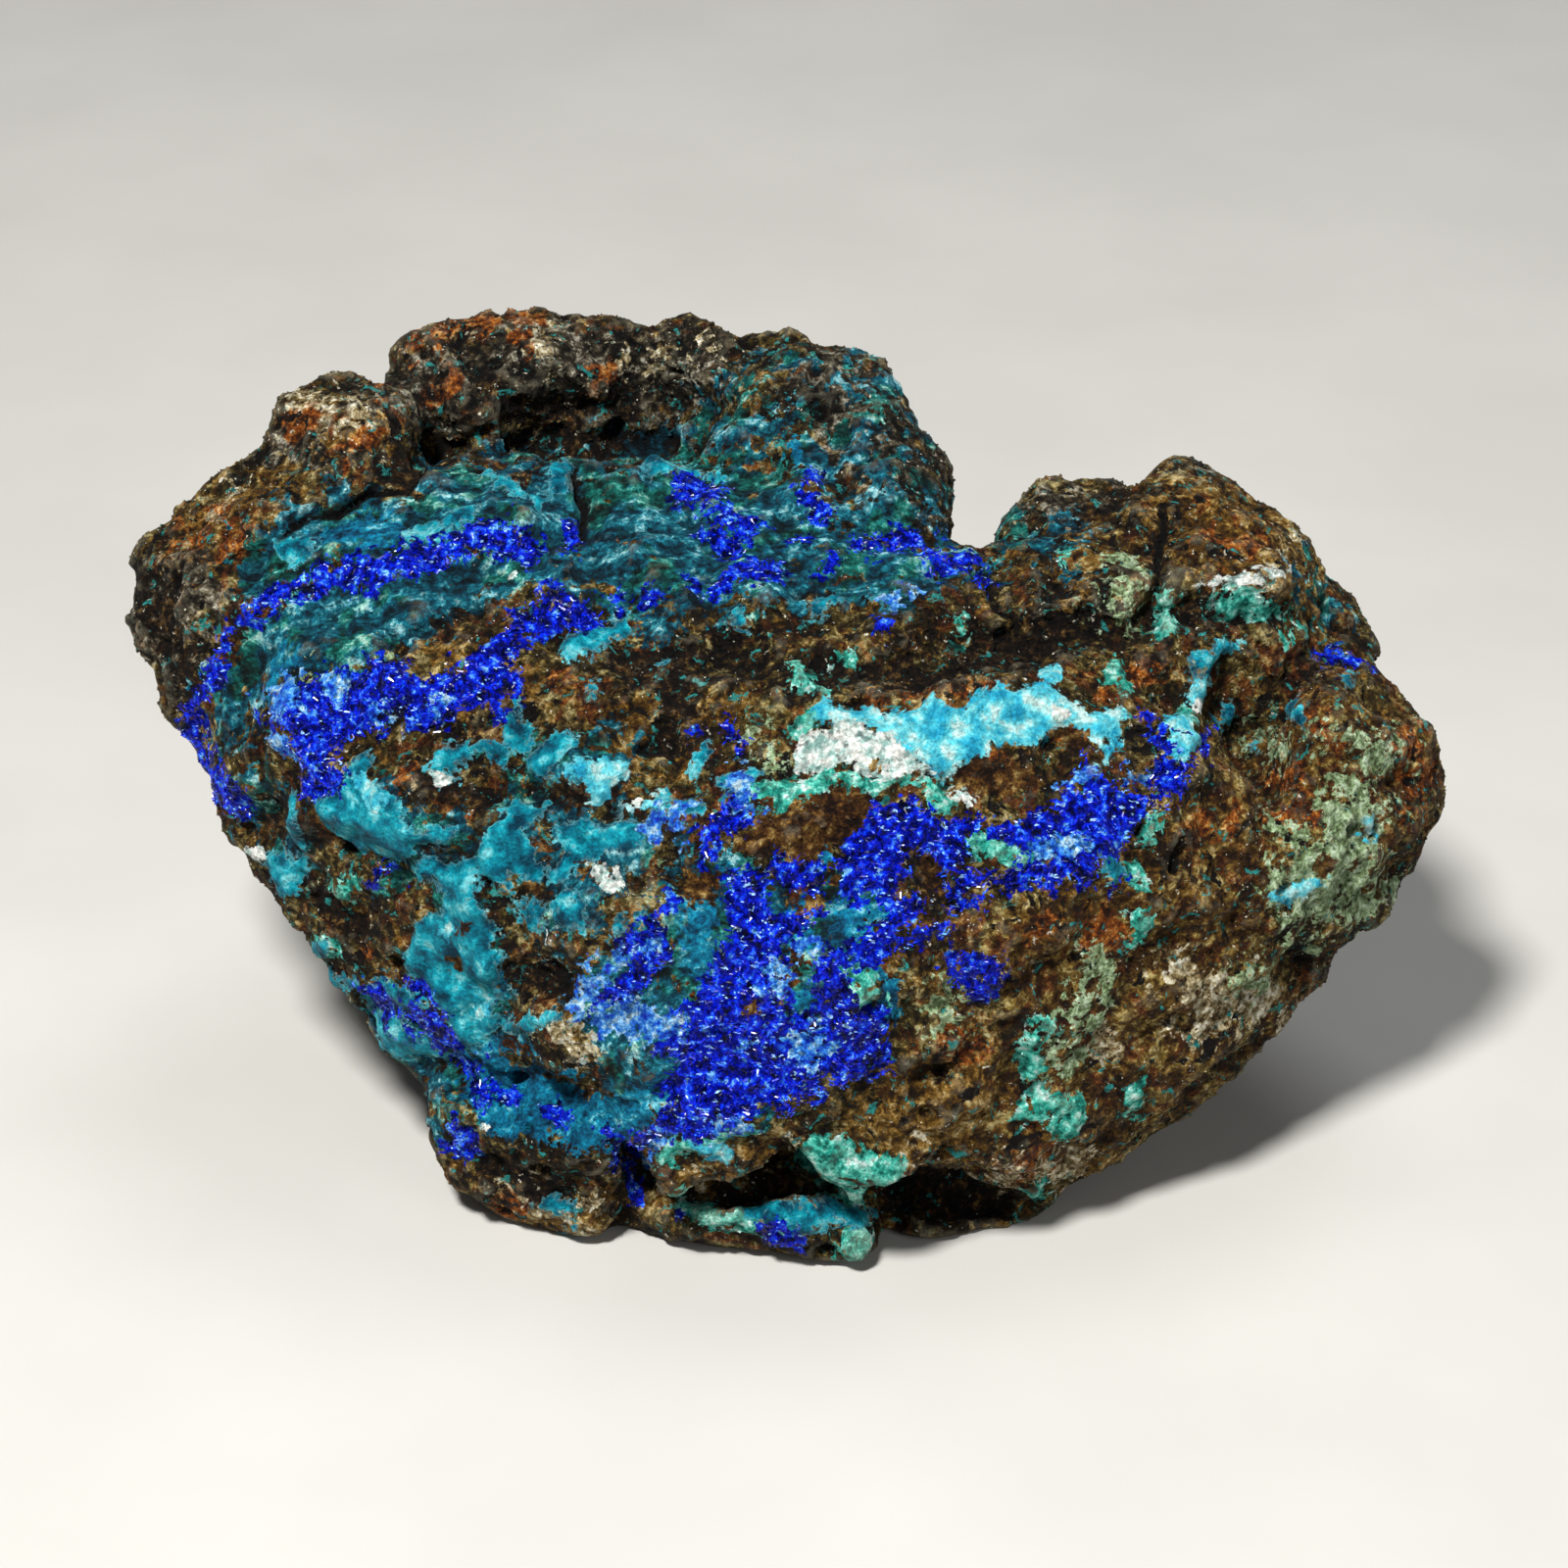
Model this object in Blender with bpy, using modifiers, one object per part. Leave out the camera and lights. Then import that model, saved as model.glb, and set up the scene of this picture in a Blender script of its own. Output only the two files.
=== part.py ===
"""Azurite and malachite specimen: one broken lump of ore, standing on its flat broken underside.

Units are metres, +Z is up, and the origin is under the middle of the lump, on the surface it
stands on. The side with the blue and green crust faces -Y.

The lump is a union of fracture blocks, each one the convex hull of a few corners. A corner on the
mineral face is given as it is seen by someone who looks at that face from slightly above: in
millimetres right, up and toward the viewer. A hidden corner is given in the part's own frame.
Grooves, hollows and lumps are then worked into the face along short brush paths, the broken
surface is roughened, and the underside is cut flat.
"""
import math

import bmesh
import bpy
import numpy as np
from mathutils import Vector, noise

# Driving dimensions
LENGTH = 0.100                      # longest extent, left tip to right tip
VIEWER_ELEVATION = math.radians(30) # how far above the horizon the face is looked at from
VIEWER_DISTANCE = 330.0             # millimetres from the viewer to the middle of the lump
VIEW_MIDDLE = (0.0, -6.0, 30.0)     # where the middle of that view lies, millimetres

VOXEL = 0.85                        # grain of the fused blocks, millimetres
EDGE_SOFTENING = 3                  # smoothing rounds that wear the block edges
WEAR_MADE_UP = 0.45                 # put back on the skin for what the softening takes
FACES_WANTED = 9200                 # triangles kept for the whole lump
UNDERSIDE_CUT = 0.9                 # how much of the feet is broken off flat, millimetres
UNDERSIDE_BAND = 3.0                # what lies lower than this and faces down is the underside
UNDERSIDE_TILT = -0.6               # faces down: its normal's upward part is less than this
UNDERSIDE_ROUGHNESS = 0.3           # it broke cleaner than the rest: its share of the roughness

# The broken surface: heights and sizes in millimetres
STEP_HEIGHT = 0.55                  # ledges where the rock parted along its layers
STEP_SIZE = (9.0, 9.0, 5.0)         # flatter than they are wide
STEP_MEAN = 1.1                     # what the ledges' pattern averages, taken off
KNOB_HEIGHT = 0.95                  # rounded knobs, each one cell of a random pattern
KNOB_SIZE = 5.5
KNOB_MIDDLE = 0.5                   # in cells: closer to a knob's centre than this stands proud
CREVICE_WIDTH = 0.16                # in cells: the crevice between two knobs
CREVICE_DEPTH = 0.35                # of a knob's height
GRAIN_HEIGHT = 0.35
GRAIN_SIZE = 2.6

RIGHT = Vector((1, 0, 0))
UPWARD = Vector((0, math.sin(VIEWER_ELEVATION), math.cos(VIEWER_ELEVATION)))
TOWARD = Vector((0, -math.cos(VIEWER_ELEVATION), math.sin(VIEWER_ELEVATION)))

# Fracture blocks. "face" corners are (right, up, toward) as seen; "hidden" ones are (x, y, z).
BLOCKS = {
    "main_mass": {
        "face": [
            (-44.7, 3.1, -4), (-43.7, -0.2, -4), (-42.5, -3.3, -4), (-38.8, -7.7, -4),
            (-36.1, -11.8, -4), (-32.8, -16, -4), (-30.3, -20.1, -3),
            (-39, 7, 5.5), (-37, 1.5, 8.5), (-31, 9, 9), (-12, 11.2, 9), (7, 10.8, 9.5),
            (21, 8.8, 10), (31, 4.5, 10), (-24, -1, 12.5), (-12, -9, 15.5), (0, -14, 17),
            (9, -13, 17), (21, -8, 15.5), (-8, 5, 12), (12, 3, 13.5), (30, -1, 12),
            (-14, -21, 12), (0, -25.5, 12.5), (9, -28, 10.5), (18, -28.6, 6.5), (26, -24.5, 5),
            (33, -19, 4.5), (38, -8, 7.5), (37.6, -18.2, -4), (34, -21.5, -4), (30.2, -24.4, -4),
            (26.1, -27.2, -4), (23.3, -30, -4),
        ],
        "hidden": [
            (-30, 20, 20), (-20, 24, 6), (18, 22, 6), (30, 16, 14), (34, 10, 30), (-36, 12, 34),
        ],
    },
    "blue_terrace": {
        "face": [
            (-44.5, 5, -3), (-42.5, 11, 1.5), (-41, 16, 0.5), (-34, 20, 0), (-25, 23.6, -2),
            (-19, 24.2, -3), (-8, 23.6, -4), (2, 20, -0.5), (13.5, 17.4, 1.5), (15, 16.2, 2.5),
            (15, 12, 7), (2, 12.5, 7.6), (-12, 12.7, 7.8), (-30, 10, 8.6), (-39, 9, 5),
        ],
        "hidden": [(-30, 20, 44), (-10, 24, 44), (8, 14, 42), (-30, 16, 20), (8, 14, 20)],
    },
    "left_slab": {
        "face": [
            (-50.2, 16.4, -6), (-47.7, 18.4, -6), (-45.8, 21, -6), (-43.3, 23.3, -7),
            (-39.4, 25.5, -7), (-27.5, 24.8, -3), (-28.5, 23.3, -1), (-33, 21.4, 1.8),
            (-38, 18.8, 3.4), (-41.8, 15.5, 4), (-43.6, 11.5, 3), (-45.5, 7, -0.5),
            (-50, 12.3, -5), (-49.1, 9.4, -5), (-47.4, 7, -5), (-45.4, 4.4, -4.5),
        ],
        "hidden": [(-43, 16, 40), (-40, 20, 34), (-38, 14, 26), (-30, 20, 46)],
    },
    "left_knob": {
        "face": [
            (-38.7, 27.9, -7), (-38, 29, -7.5), (-36.4, 30.4, -8), (-34.2, 31.1, -8.5),
            (-30.7, 30.9, -9), (-27.6, 29.2, -7), (-26.8, 27, -5.5), (-28, 24.8, -3.5),
            (-33, 24, -0.5), (-36.5, 25.5, -1.5), (-38.3, 26.6, -6), (-35, 28.5, -3.5),
            (-30, 28, -3.5),
        ],
        "hidden": [(-34, 20, 48), (-29, 22, 48), (-34, 18, 40)],
    },
    "rusty_crest": {
        "face": [
            (-29.5, 31.5, -13), (-29.3, 32.9, -14), (-28.2, 34, -14.5), (-25.6, 35, -15),
            (-22.8, 35.5, -15.5), (-18.5, 36.1, -16), (-13.9, 35.5, -16), (-11.9, 34.3, -15.5),
            (-28, 28.5, -10), (-22, 27.5, -9), (-14, 28.5, -10.5), (-27, 22, -12),
            (-12, 22, -13), (-26, 32.5, -11), (-18, 33, -11.5),
        ],
        "hidden": [(-24, 36, 42), (-14, 36, 42), (-26, 30, 26), (-12, 32, 26)],
    },
    "middle_crest": {
        "face": [
            (-13, 34.2, -15), (-10.7, 34.7, -15), (-8.3, 35.7, -15), (-5.4, 35.1, -14.5),
            (-4, 34.3, -14), (-0.7, 34, -13.5), (1.8, 33.6, -13), (-12, 28, -12),
            (-6, 26.5, -10.5), (0, 27, -8.5), (-12, 22, -13), (0, 21, -10),
        ],
        "hidden": [(-10, 35, 42), (2, 32, 42), (-10, 30, 24), (2, 28, 24)],
    },
    "grey_boulder": {
        "face": [
            (-0.7, 33.2, -12), (4.3, 32.9, -11), (5.8, 32.8, -11), (6.8, 32.1, -11),
            (8.3, 30.5, -10.5), (10, 29.2, -10), (10.9, 27.5, -10), (11.9, 24.9, -9),
            (12.8, 22.5, -8), (13.3, 20.6, -6.5), (13.2, 18, -5), (0.5, 31.8, -9),
            (-3.5, 28.5, -8), (-6.5, 24.5, -5.5), (-4, 21.5, -3), (2, 27, -5),
            (7, 27.5, -5), (9, 23, -1.5), (4, 20.5, 0), (10, 19.3, 0.8), (12, 18.5, -0.5),
        ],
        "hidden": [(2, 28, 46), (9, 22, 44), (11, 16, 38), (2, 24, 30)],
    },
    "shoulder_near_notch": {
        "face": [
            (15.4, 17.6, -1), (15.6, 18.3, -3), (16, 19.7, -5), (16.4, 20.8, -6),
            (17.8, 21.7, -6.5), (19.3, 22.6, -7), (24.3, 23.7, -8), (25.5, 23.5, -8),
            (26.6, 22, -7), (15.5, 13, 5.5), (20, 14, 6.5), (26, 13, 7), (27, 17, 3),
            (18, 18, 0.5), (24, 9, 9),
        ],
        "hidden": [(18, 18, 40), (26, 20, 40), (18, 16, 26), (26, 18, 24)],
    },
    "shoulder_peak": {
        "face": [
            (27.2, 22.5, -7), (27.9, 24.3, -8), (29, 25, -8.5), (30.5, 24.5, -8.5),
            (33.8, 22.8, -8.5), (35.5, 21.2, -8.5), (38.4, 19.8, -8.5), (39.4, 18.5, -8.5),
            (40.2, 16.7, -8), (40, 14, -5), (39, 12, -1), (37.5, 15.8, 2.5), (33.5, 16.2, 4.2),
            (28.4, 15.4, 5), (27, 18, 1.5), (29, 11, 5.5), (35, 11.5, 3.5),
        ],
        "hidden": [(29, 22, 40), (36, 18, 36), (38, 12, 28), (28, 20, 24)],
    },
    "green_rim": {
        "face": [
            (40, 16, -9), (41.6, 15.4, -9), (43.2, 14, -9), (44.5, 12.2, -9), (45.3, 10, -9),
            (45, 8, -8), (40, 13, -5), (40.5, 9.5, -3), (43, 8, -3),
        ],
        "hidden": [(40, 16, 34), (42, 12, 28), (36, 14, 30)],
    },
    "right_end": {
        "face": [
            (44.8, 8.2, -3), (46, 7.6, -4), (47.3, 6, -4.5), (48.6, 5, -4.5),
            (49.6, 3.5, -4.5), (50.3, 1.5, -4.5), (50.1, -0.6, -4.5), (49.8, -2.2, -4.5),
            (48.6, -4.4, -4.5), (46.9, -7, -4.5), (45.4, -9, -5), (43.4, -12.4, -5),
            (41, 9, 1), (39, 6, 7), (44, 4, 4.5), (47, 0.5, 1), (46.5, -3, 1), (44, -6, 3),
            (39, -9, 7), (38.3, -16.6, -4), (36, -12, 7),
        ],
        "hidden": [(42, 10, 30), (44, 8, 24), (38, 12, 18), (34, 14, 22)],
    },
    "left_foot": {
        "face": [
            (-28, -21.8, 0.5), (-26.6, -25, 1), (-26.3, -28.4, -0.5), (-25.4, -29.8, -1),
            (-24.1, -31.1, -1.5),
            (-20.8, -32.6, -1.5), (-18.2, -34.4, -1), (-13.9, -34.8, 0), (-12.9, -34, -0.5),
            (-24, -24, 5), (-14, -28, 7), (-20, -31, 2.5), (-13.4, -32, 3.5), (-12, -25, 11),
        ],
        "hidden": [(-24, 8, 0), (-22, 14, 0), (-26, 0, 10), (-12, 16, 0)],
    },
    "middle_foot": {
        "face": [
            (-11.6, -33.8, -0.5), (-8.7, -34, 0.5), (-4.6, -35.3, 1.2), (-1.5, -34.9, 1.5),
            (3.3, -35.8, 2.5), (5, -36.4, 3.2), (6.3, -36.2, 3), (7.1, -35.2, 2),
            (6, -32.8, 5.5), (-2, -32.2, 6), (-8, -32.2, 4.5), (-11, -32.4, 2.5), (0, -31, 3),
        ],
        "hidden": [(-10, 10, 0), (8, 12, 0), (-8, 0, 8), (6, 0, 8)],
    },
    "right_foot": {
        "face": [
            (8.5, -34.9, 0.5), (12.6, -34.3, -0.5), (16, -34, -1), (18.6, -33.2, -2.5),
            (20.3, -31.9, -3), (21.4, -30.7, -3), (18, -31, 1.5), (10, -31, 3),
        ],
        "hidden": [(18, 12, 0), (8, 14, 0), (20, 2, 8), (10, 0, 10)],
    },
    "green_tooth": {
        "face": [
            (0.5, -26, 12), (10.3, -28.8, 9.8), (6.2, -31.8, 7.8), (5, -32.4, 7.5),
            (3.4, -30, 9.5), (1.5, -28, 10.8),
        ],
        "hidden": [(4, -8, 20), (8, -8, 22)],
    },
    "brown_lip": {
        "face": [
            (-11.5, -25, 11.5), (-10.5, -31, 7.5), (-7, -31.3, 8), (-2, -30, 9),
            (0.5, -28.5, 10.5), (0, -25.5, 12.5),
        ],
        "hidden": [(-8, -6, 16), (0, -6, 16)],
    },
    "back_mass": {
        "face": [],
        "hidden": [
            (-30, 28, 44), (-14, 35, 42), (3, 33, 40), (10, 25, 40), (-31, 29, 27), (-10, 34, 25),
            (8, 29, 22), (-20, 24, 3), (12, 22, 2), (-32, 14, 40), (12, 12, 36), (-20, 0, 30),
            (10, 0, 30), (-28, 20, 12),
        ],
    },
    "right_core": {
        "face": [(15.5, 12, 5.5), (27, 10, 8), (38, 9.5, 1), (40, 12, -3)],
        "hidden": [
            (17, 15, 38), (34, 19, 38), (38, 16, 26), (10, 26, 20), (29, 22, 15), (14, -4, 24),
            (36, -4, 22), (41, 8, 30), (12, 25, 30), (16, 22, 33),
        ],
    },
    "notch_floor": {
        "face": [
            (12.4, 17.6, 1.5), (13.4, 17.8, -1), (14.8, 17.8, -2), (15.8, 18.3, -1), (15.5, 17, 3),
            (12, 13, 6.5), (17, 13, 6),
        ],
        "hidden": [(14, 4, 40), (14, -2, 30), (14, 10, 34)],
    },
    "underside": {
        "face": [],
        "hidden": [
            (-23, -16, 0), (-24, 8, 0), (-16, 20, 0), (12, 21, 0), (21, 6, 0), (19, -15, 0),
            (-8, -22, 0), (6, -22, 0), (-26, -14, 14), (26, -12, 14), (22, 20, 14), (-22, 20, 14),
        ],
    },
}

# Brush paths on the mineral face: points (right, up), half width, and how far the surface is
# pushed away from the viewer. A negative push raises it.
BRUSHES = {
    "shadow_under_slab": ([(-44, 11), (-42, 15), (-38, 18.4), (-33, 20.9), (-28, 23)], 1.8, 2.4),
    "groove_behind_terrace": ([(-27, 24.6), (-20, 25.6), (-13, 25.4), (-7, 24.8)], 2.4, 4.5),
    "hollow_below_crest": ([(-20, 27.5), (-12, 28.5), (-6, 28)], 3.2, 3.6),
    "gap_beside_knob": ([(-26.8, 31), (-26, 27)], 1.8, 2.6),
    "hollow_beside_boulder": ([(-8.5, 30), (-8.5, 26.5)], 2.4, 2.2),
    "boulder_ridge": ([(0.5, 32), (-3.5, 29.5), (-5, 27.5), (-7, 25.5)], 1.6, -1.2),
    "dent_in_boulder": ([(3.5, 25.5), (4.5, 22.5)], 2.0, 1.4),
    "terrace_upper_layer": (
        [(-41.5, 12.5), (-36, 16.6), (-30, 17.8), (-24, 19.6), (-18, 19.8)], 1.3, -0.8,
    ),
    "terrace_lower_layer": ([(-40.5, 8.5), (-36, 12.4), (-29, 13.6), (-22, 16), (-13, 16)], 1.4, 0.9),
    "terrace_right_layer": ([(-8, 21.5), (-3, 18.6), (4, 17.4), (12, 16.6)], 1.3, -0.7),
    "terrace_cleft": ([(-15, 24), (-14.5, 21), (-13.8, 19)], 1.1, 1.5),
    "seam_from_notch": ([(14.8, 17), (15.5, 14.5), (17, 12)], 1.0, 1.4),
    "shoulder_crack": ([(28.3, 20.5), (28.2, 17.5), (27.8, 15)], 0.9, 2.4),
    "short_crack": ([(24.2, 15.8), (24.3, 13.4)], 0.8, 1.2),
    "middle_band_layer": (
        [(-37, 4.5), (-32, 7), (-25, 8.4), (-20, 9), (-16, 13), (-11, 13)], 1.2, -0.7,
    ),
    "brown_hollow_left": ([(-28.5, 11.2), (-25, 11.8), (-22.5, 13.2)], 1.5, 1.3),
    "recess_of_brown_band": ([(-20, 10.2), (-10, 11), (0, 10), (12, 9.4), (24, 10.6)], 3.4, 1.2),
    "step_above_brown_band": ([(-20, 9), (-14, 8.6), (-8, 9.6), (-3, 9)], 1.4, 0.9),
    "dark_band": ([(2, 9.6), (8, 8.8), (14, 9.6), (19, 11.6), (25, 11)], 1.9, 1.6),
    "rusty_lip": ([(4, 6.9), (9, 6.7), (15, 7)], 1.1, -0.9),
    "hollow_under_ledge": ([(28.5, 13.2), (33, 13.6), (38, 13)], 1.5, 1.6),
    "vein_ridge": ([(36.5, 11.2), (33, 10.6), (31, 8.4), (30, 5)], 1.1, -0.8),
    "right_furrow": ([(40, 7.9), (38, 6.6), (37.5, 4.5)], 1.2, 1.1),
    "right_end_notch": ([(46.5, 1), (50.5, 0.9)], 1.2, 1.3),
    "right_end_dent": ([(45.8, -1.2), (47, 0)], 1.3, 0.9),
    "left_band_hollow": ([(-34.5, 2.8), (-29, 3.3), (-25, 3)], 1.1, 0.9),
    "plate_edge": ([(-36, 0), (-33.5, -3.4), (-31, -6), (-28.5, -7.6)], 1.5, 1.7),
    "flank_furrow": ([(-38.6, 1.5), (-38.3, -3)], 1.4, 1.0),
    "brown_pit": ([(-20.5, -14.6), (-18, -14.8), (-15.6, -15.2)], 1.7, 1.6),
    "pit_in_azurite": ([(10.4, -5), (10.8, -8)], 1.4, 1.3),
    "pit_in_brown": ([(10.5, -21.8), (13, -21)], 1.3, 1.1),
    "teal_hollow": ([(-23, -23), (-18, -24), (-12, -25.5)], 3.6, 1.5),
    "flank_ledge": ([(-32, -14.6), (-28, -16), (-25, -19)], 1.4, -0.9),
    "cleft_between_feet": ([(-12.3, -30), (-12.4, -32), (-12.3, -35)], 1.0, 2.2),
    "groove_above_feet": ([(-20, -30.8), (-16, -30.6), (-13, -30)], 1.2, 1.5),
    "groove_over_strip": ([(-9.5, -31), (-5, -31), (0, -30.6), (3.5, -30.2)], 1.0, 1.6),
    "arch_recess": ([(9.3, -30.6), (13, -31), (16.5, -31.2)], 2.0, 4.0),
    "smooth_brown_bar": ([(-3, -4), (0, -3.2), (3, -2), (6, -1.2)], 1.8, -0.9),
    "ledge_of_band": ([(3, 1.4), (9, 1.4), (13, 2.4), (19, 3)], 1.2, -0.9),
    "plate_turquoise": ([(-34, -1.5), (-30, -3.8), (-25, -3.9)], 2.2, -0.8),
    "lump_turquoise_heart": ([(-14.6, 1), (-13, 1.2)], 2.0, -1.1),
    "lump_turquoise_left": ([(-18.4, 2.5), (-16.6, 2.6)], 1.7, -0.9),
    "lump_pale_green": ([(15.2, -4.6), (17, -4.8)], 1.8, -0.9),
    "lump_green_ball": ([(5.2, -34.4)], 1.9, -1.0),
    "lump_tooth": ([(3, -27.4), (6, -29.5)], 2.2, -0.8),
    "lump_crest_pale": ([(-18, 33), (-17, 32)], 2.4, -1.0),
    "lump_crest_right": ([(-9, 32)], 2.0, -0.8),
}
DEEPEST_BRUSHED = -20.0             # brushes leave alone what lies further back than this
FULLY_FACING = 0.25                 # a brush works in full where the normal leans this much to the viewer


def seen(right, up, toward):
    """The place of a point that appears at (right, up) and lies that far toward the viewer."""
    spread = 1 - toward / VIEWER_DISTANCE
    return Vector(VIEW_MIDDLE) + RIGHT * right * spread + UPWARD * up * spread + TOWARD * toward


def as_seen(points):
    """The inverse of seen, for an array of places: columns right, up and toward."""
    away = points - np.array(VIEW_MIDDLE)
    toward = away @ np.array(TOWARD)
    spread = 1 - toward / VIEWER_DISTANCE
    return np.column_stack(
        (away @ np.array(RIGHT) / spread, away @ np.array(UPWARD) / spread, toward)
    )


def clear_scene():
    for old in list(bpy.data.objects):
        bpy.data.objects.remove(old, do_unlink=True)


def new_collection(name):
    collection = bpy.data.collections.new(name)
    bpy.context.scene.collection.children.link(collection)
    return collection


def add_hull(mesh, corners):
    """Adds the convex hull of the corners to the mesh, as a closed shell of its own."""
    shell = bmesh.new()
    for corner in corners:
        shell.verts.new(corner)
    hull = bmesh.ops.convex_hull(shell, input=shell.verts)
    inside = [v for v in hull["geom_interior"] if isinstance(v, bmesh.types.BMVert)]
    bmesh.ops.delete(shell, geom=inside, context="VERTS")
    bmesh.ops.recalc_face_normals(shell, faces=shell.faces)
    scratch = bpy.data.meshes.new("hull")
    shell.to_mesh(scratch)
    shell.free()
    mesh.from_mesh(scratch)
    bpy.data.meshes.remove(scratch)


def fracture_blocks(collection):
    """All the blocks in one mesh, where they still overlap."""
    shells = bmesh.new()
    for block in BLOCKS.values():
        corners = [seen(*corner) for corner in block["face"]]
        corners += [Vector(corner) for corner in block["hidden"]]
        add_hull(shells, corners)
    mesh = bpy.data.meshes.new("blocks")
    shells.to_mesh(mesh)
    shells.free()
    lump = bpy.data.objects.new("specimen", mesh)
    collection.objects.link(lump)
    return lump


def apply_modifiers(lump):
    """Replaces the mesh with what its modifiers make of it."""
    graph = bpy.context.evaluated_depsgraph_get()
    made = bpy.data.meshes.new_from_object(lump.evaluated_get(graph))
    lump.modifiers.clear()
    old = lump.data
    lump.data = made
    bpy.data.meshes.remove(old)


def fuse(lump):
    """Makes one skin of the overlapping blocks and wears its edges."""
    remesh = lump.modifiers.new("Fuse", "REMESH")
    remesh.mode = "VOXEL"
    remesh.voxel_size = VOXEL
    smooth = lump.modifiers.new("Wear", "SMOOTH")
    smooth.iterations = EDGE_SOFTENING
    smooth.factor = 0.5
    apply_modifiers(lump)


def distance_to_path(points, path):
    """Distance in the picture plane from each (right, up) point to a path of straight stretches."""
    if len(path) == 1:
        return np.linalg.norm(points - np.array(path[0]), axis=1)
    nearest = np.full(len(points), np.inf)
    for start, end in zip(path, path[1:]):
        start, end = np.array(start), np.array(end)
        along = end - start
        share = np.clip((points - start) @ along / (along @ along), 0, 1)
        gap = np.linalg.norm(points - (start + share[:, None] * along), axis=1)
        nearest = np.minimum(nearest, gap)
    return nearest


def vertex_array(mesh, field):
    values = np.empty(len(mesh.vertices) * 3)
    mesh.vertices.foreach_get(field, values)
    return values.reshape(-1, 3)


def brush_face(lump):
    """Works the named grooves, hollows and lumps into the side that faces the viewer."""
    places = vertex_array(lump.data, "co")
    facing = vertex_array(lump.data, "normal") @ np.array(TOWARD)
    for path, half_width, push in BRUSHES.values():
        view = as_seen(places)
        gap = distance_to_path(view[:, :2], path)
        falloff = np.clip(1 - gap / half_width, 0, 1)
        falloff = falloff * falloff * (3 - 2 * falloff)
        falloff *= np.clip(facing / FULLY_FACING, 0, 1) * (view[:, 2] > DEEPEST_BRUSHED)
        places -= np.outer(falloff * push, np.array(TOWARD))
    lump.data.vertices.foreach_set("co", places.ravel())
    lump.data.update()


def roughness_at(place):
    """Height of the broken surface at a place, in millimetres: steps, knobs and grain."""
    layered = Vector((along / size for along, size in zip(place, STEP_SIZE)))
    steps = noise.ridged_multi_fractal(layered, 1.0, 2.1, 3, 0.9, 2.0) - STEP_MEAN
    near, far = noise.voronoi(place / KNOB_SIZE)[0][:2]
    crevice = max(0.0, 1 - (far - near) / CREVICE_WIDTH)
    knobs = KNOB_MIDDLE - near - CREVICE_DEPTH * crevice
    grain = noise.fractal(place / GRAIN_SIZE, 0.9, 2.0, 2)
    return WEAR_MADE_UP + STEP_HEIGHT * steps + KNOB_HEIGHT * knobs + GRAIN_HEIGHT * grain


def roughen(lump):
    """Pushes every point of the skin out or in by the height of the broken surface there."""
    mesh = lump.data
    normals = [vertex.normal.copy() for vertex in mesh.vertices]
    for vertex, normal in zip(mesh.vertices, normals):
        underside = normal.z < UNDERSIDE_TILT and vertex.co.z < UNDERSIDE_BAND
        share = UNDERSIDE_ROUGHNESS if underside else 1
        vertex.co += normal * roughness_at(vertex.co) * share
    mesh.update()


def thin_out(lump):
    """Keeps about FACES_WANTED triangles, most of them where the surface bends."""
    mesh = lump.data
    mesh.calc_loop_triangles()
    thin = lump.modifiers.new("Thin out", "DECIMATE")
    thin.ratio = FACES_WANTED / len(mesh.loop_triangles)
    thin.use_collapse_triangulate = True
    apply_modifiers(lump)


def drop_scraps(skin):
    """Keeps the largest connected body: small pits in the underside leave scraps when it is cut."""
    unvisited = set(skin.verts)
    bodies = []
    while unvisited:
        body = {unvisited.pop()}
        edge_of_body = set(body)
        while edge_of_body:
            around = {edge.other_vert(vert) for vert in edge_of_body for edge in vert.link_edges}
            edge_of_body = around - body
            body |= edge_of_body
        unvisited -= body
        bodies.append(body)
    scraps = [vert for body in sorted(bodies, key=len)[:-1] for vert in body]
    bmesh.ops.delete(skin, geom=scraps, context="VERTS")


def break_flat(lump):
    """Cuts the feet off flat, so that the lump stands, and closes the cut."""
    skin = bmesh.new()
    skin.from_mesh(lump.data)
    level = min(vertex.co.z for vertex in skin.verts) + UNDERSIDE_CUT
    cut = bmesh.ops.bisect_plane(
        skin,
        geom=skin.verts[:] + skin.edges[:] + skin.faces[:],
        dist=0.01,
        plane_co=(0, 0, level),
        plane_no=(0, 0, 1),
        clear_inner=True,
    )
    for vertex in skin.verts:
        vertex.co.z = max(vertex.co.z, level)
    rim = [edge for edge in cut["geom_cut"] if isinstance(edge, bmesh.types.BMEdge)]
    bmesh.ops.holes_fill(skin, edges=rim, sides=0)
    bmesh.ops.triangulate(skin, faces=[face for face in skin.faces if len(face.verts) > 3])
    drop_scraps(skin)
    bmesh.ops.recalc_face_normals(skin, faces=skin.faces)
    skin.to_mesh(lump.data)
    skin.free()


def settle_on_origin(lump):
    """Gives the lump its real length in metres, with the middle of its box over the origin."""
    places = vertex_array(lump.data, "co")
    low, high = places.min(axis=0), places.max(axis=0)
    shift = -(low + high) / 2
    shift[2] = -low[2]
    scale = LENGTH / (high[0] - low[0])
    lump.data.vertices.foreach_set("co", ((places + shift) * scale).ravel())
    lump.data.update()
    middle = (np.array(VIEW_MIDDLE) + shift) * scale
    print("the face is seen whole from", round(VIEWER_DISTANCE * scale, 5), "m, looking at", middle.round(5))


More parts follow.
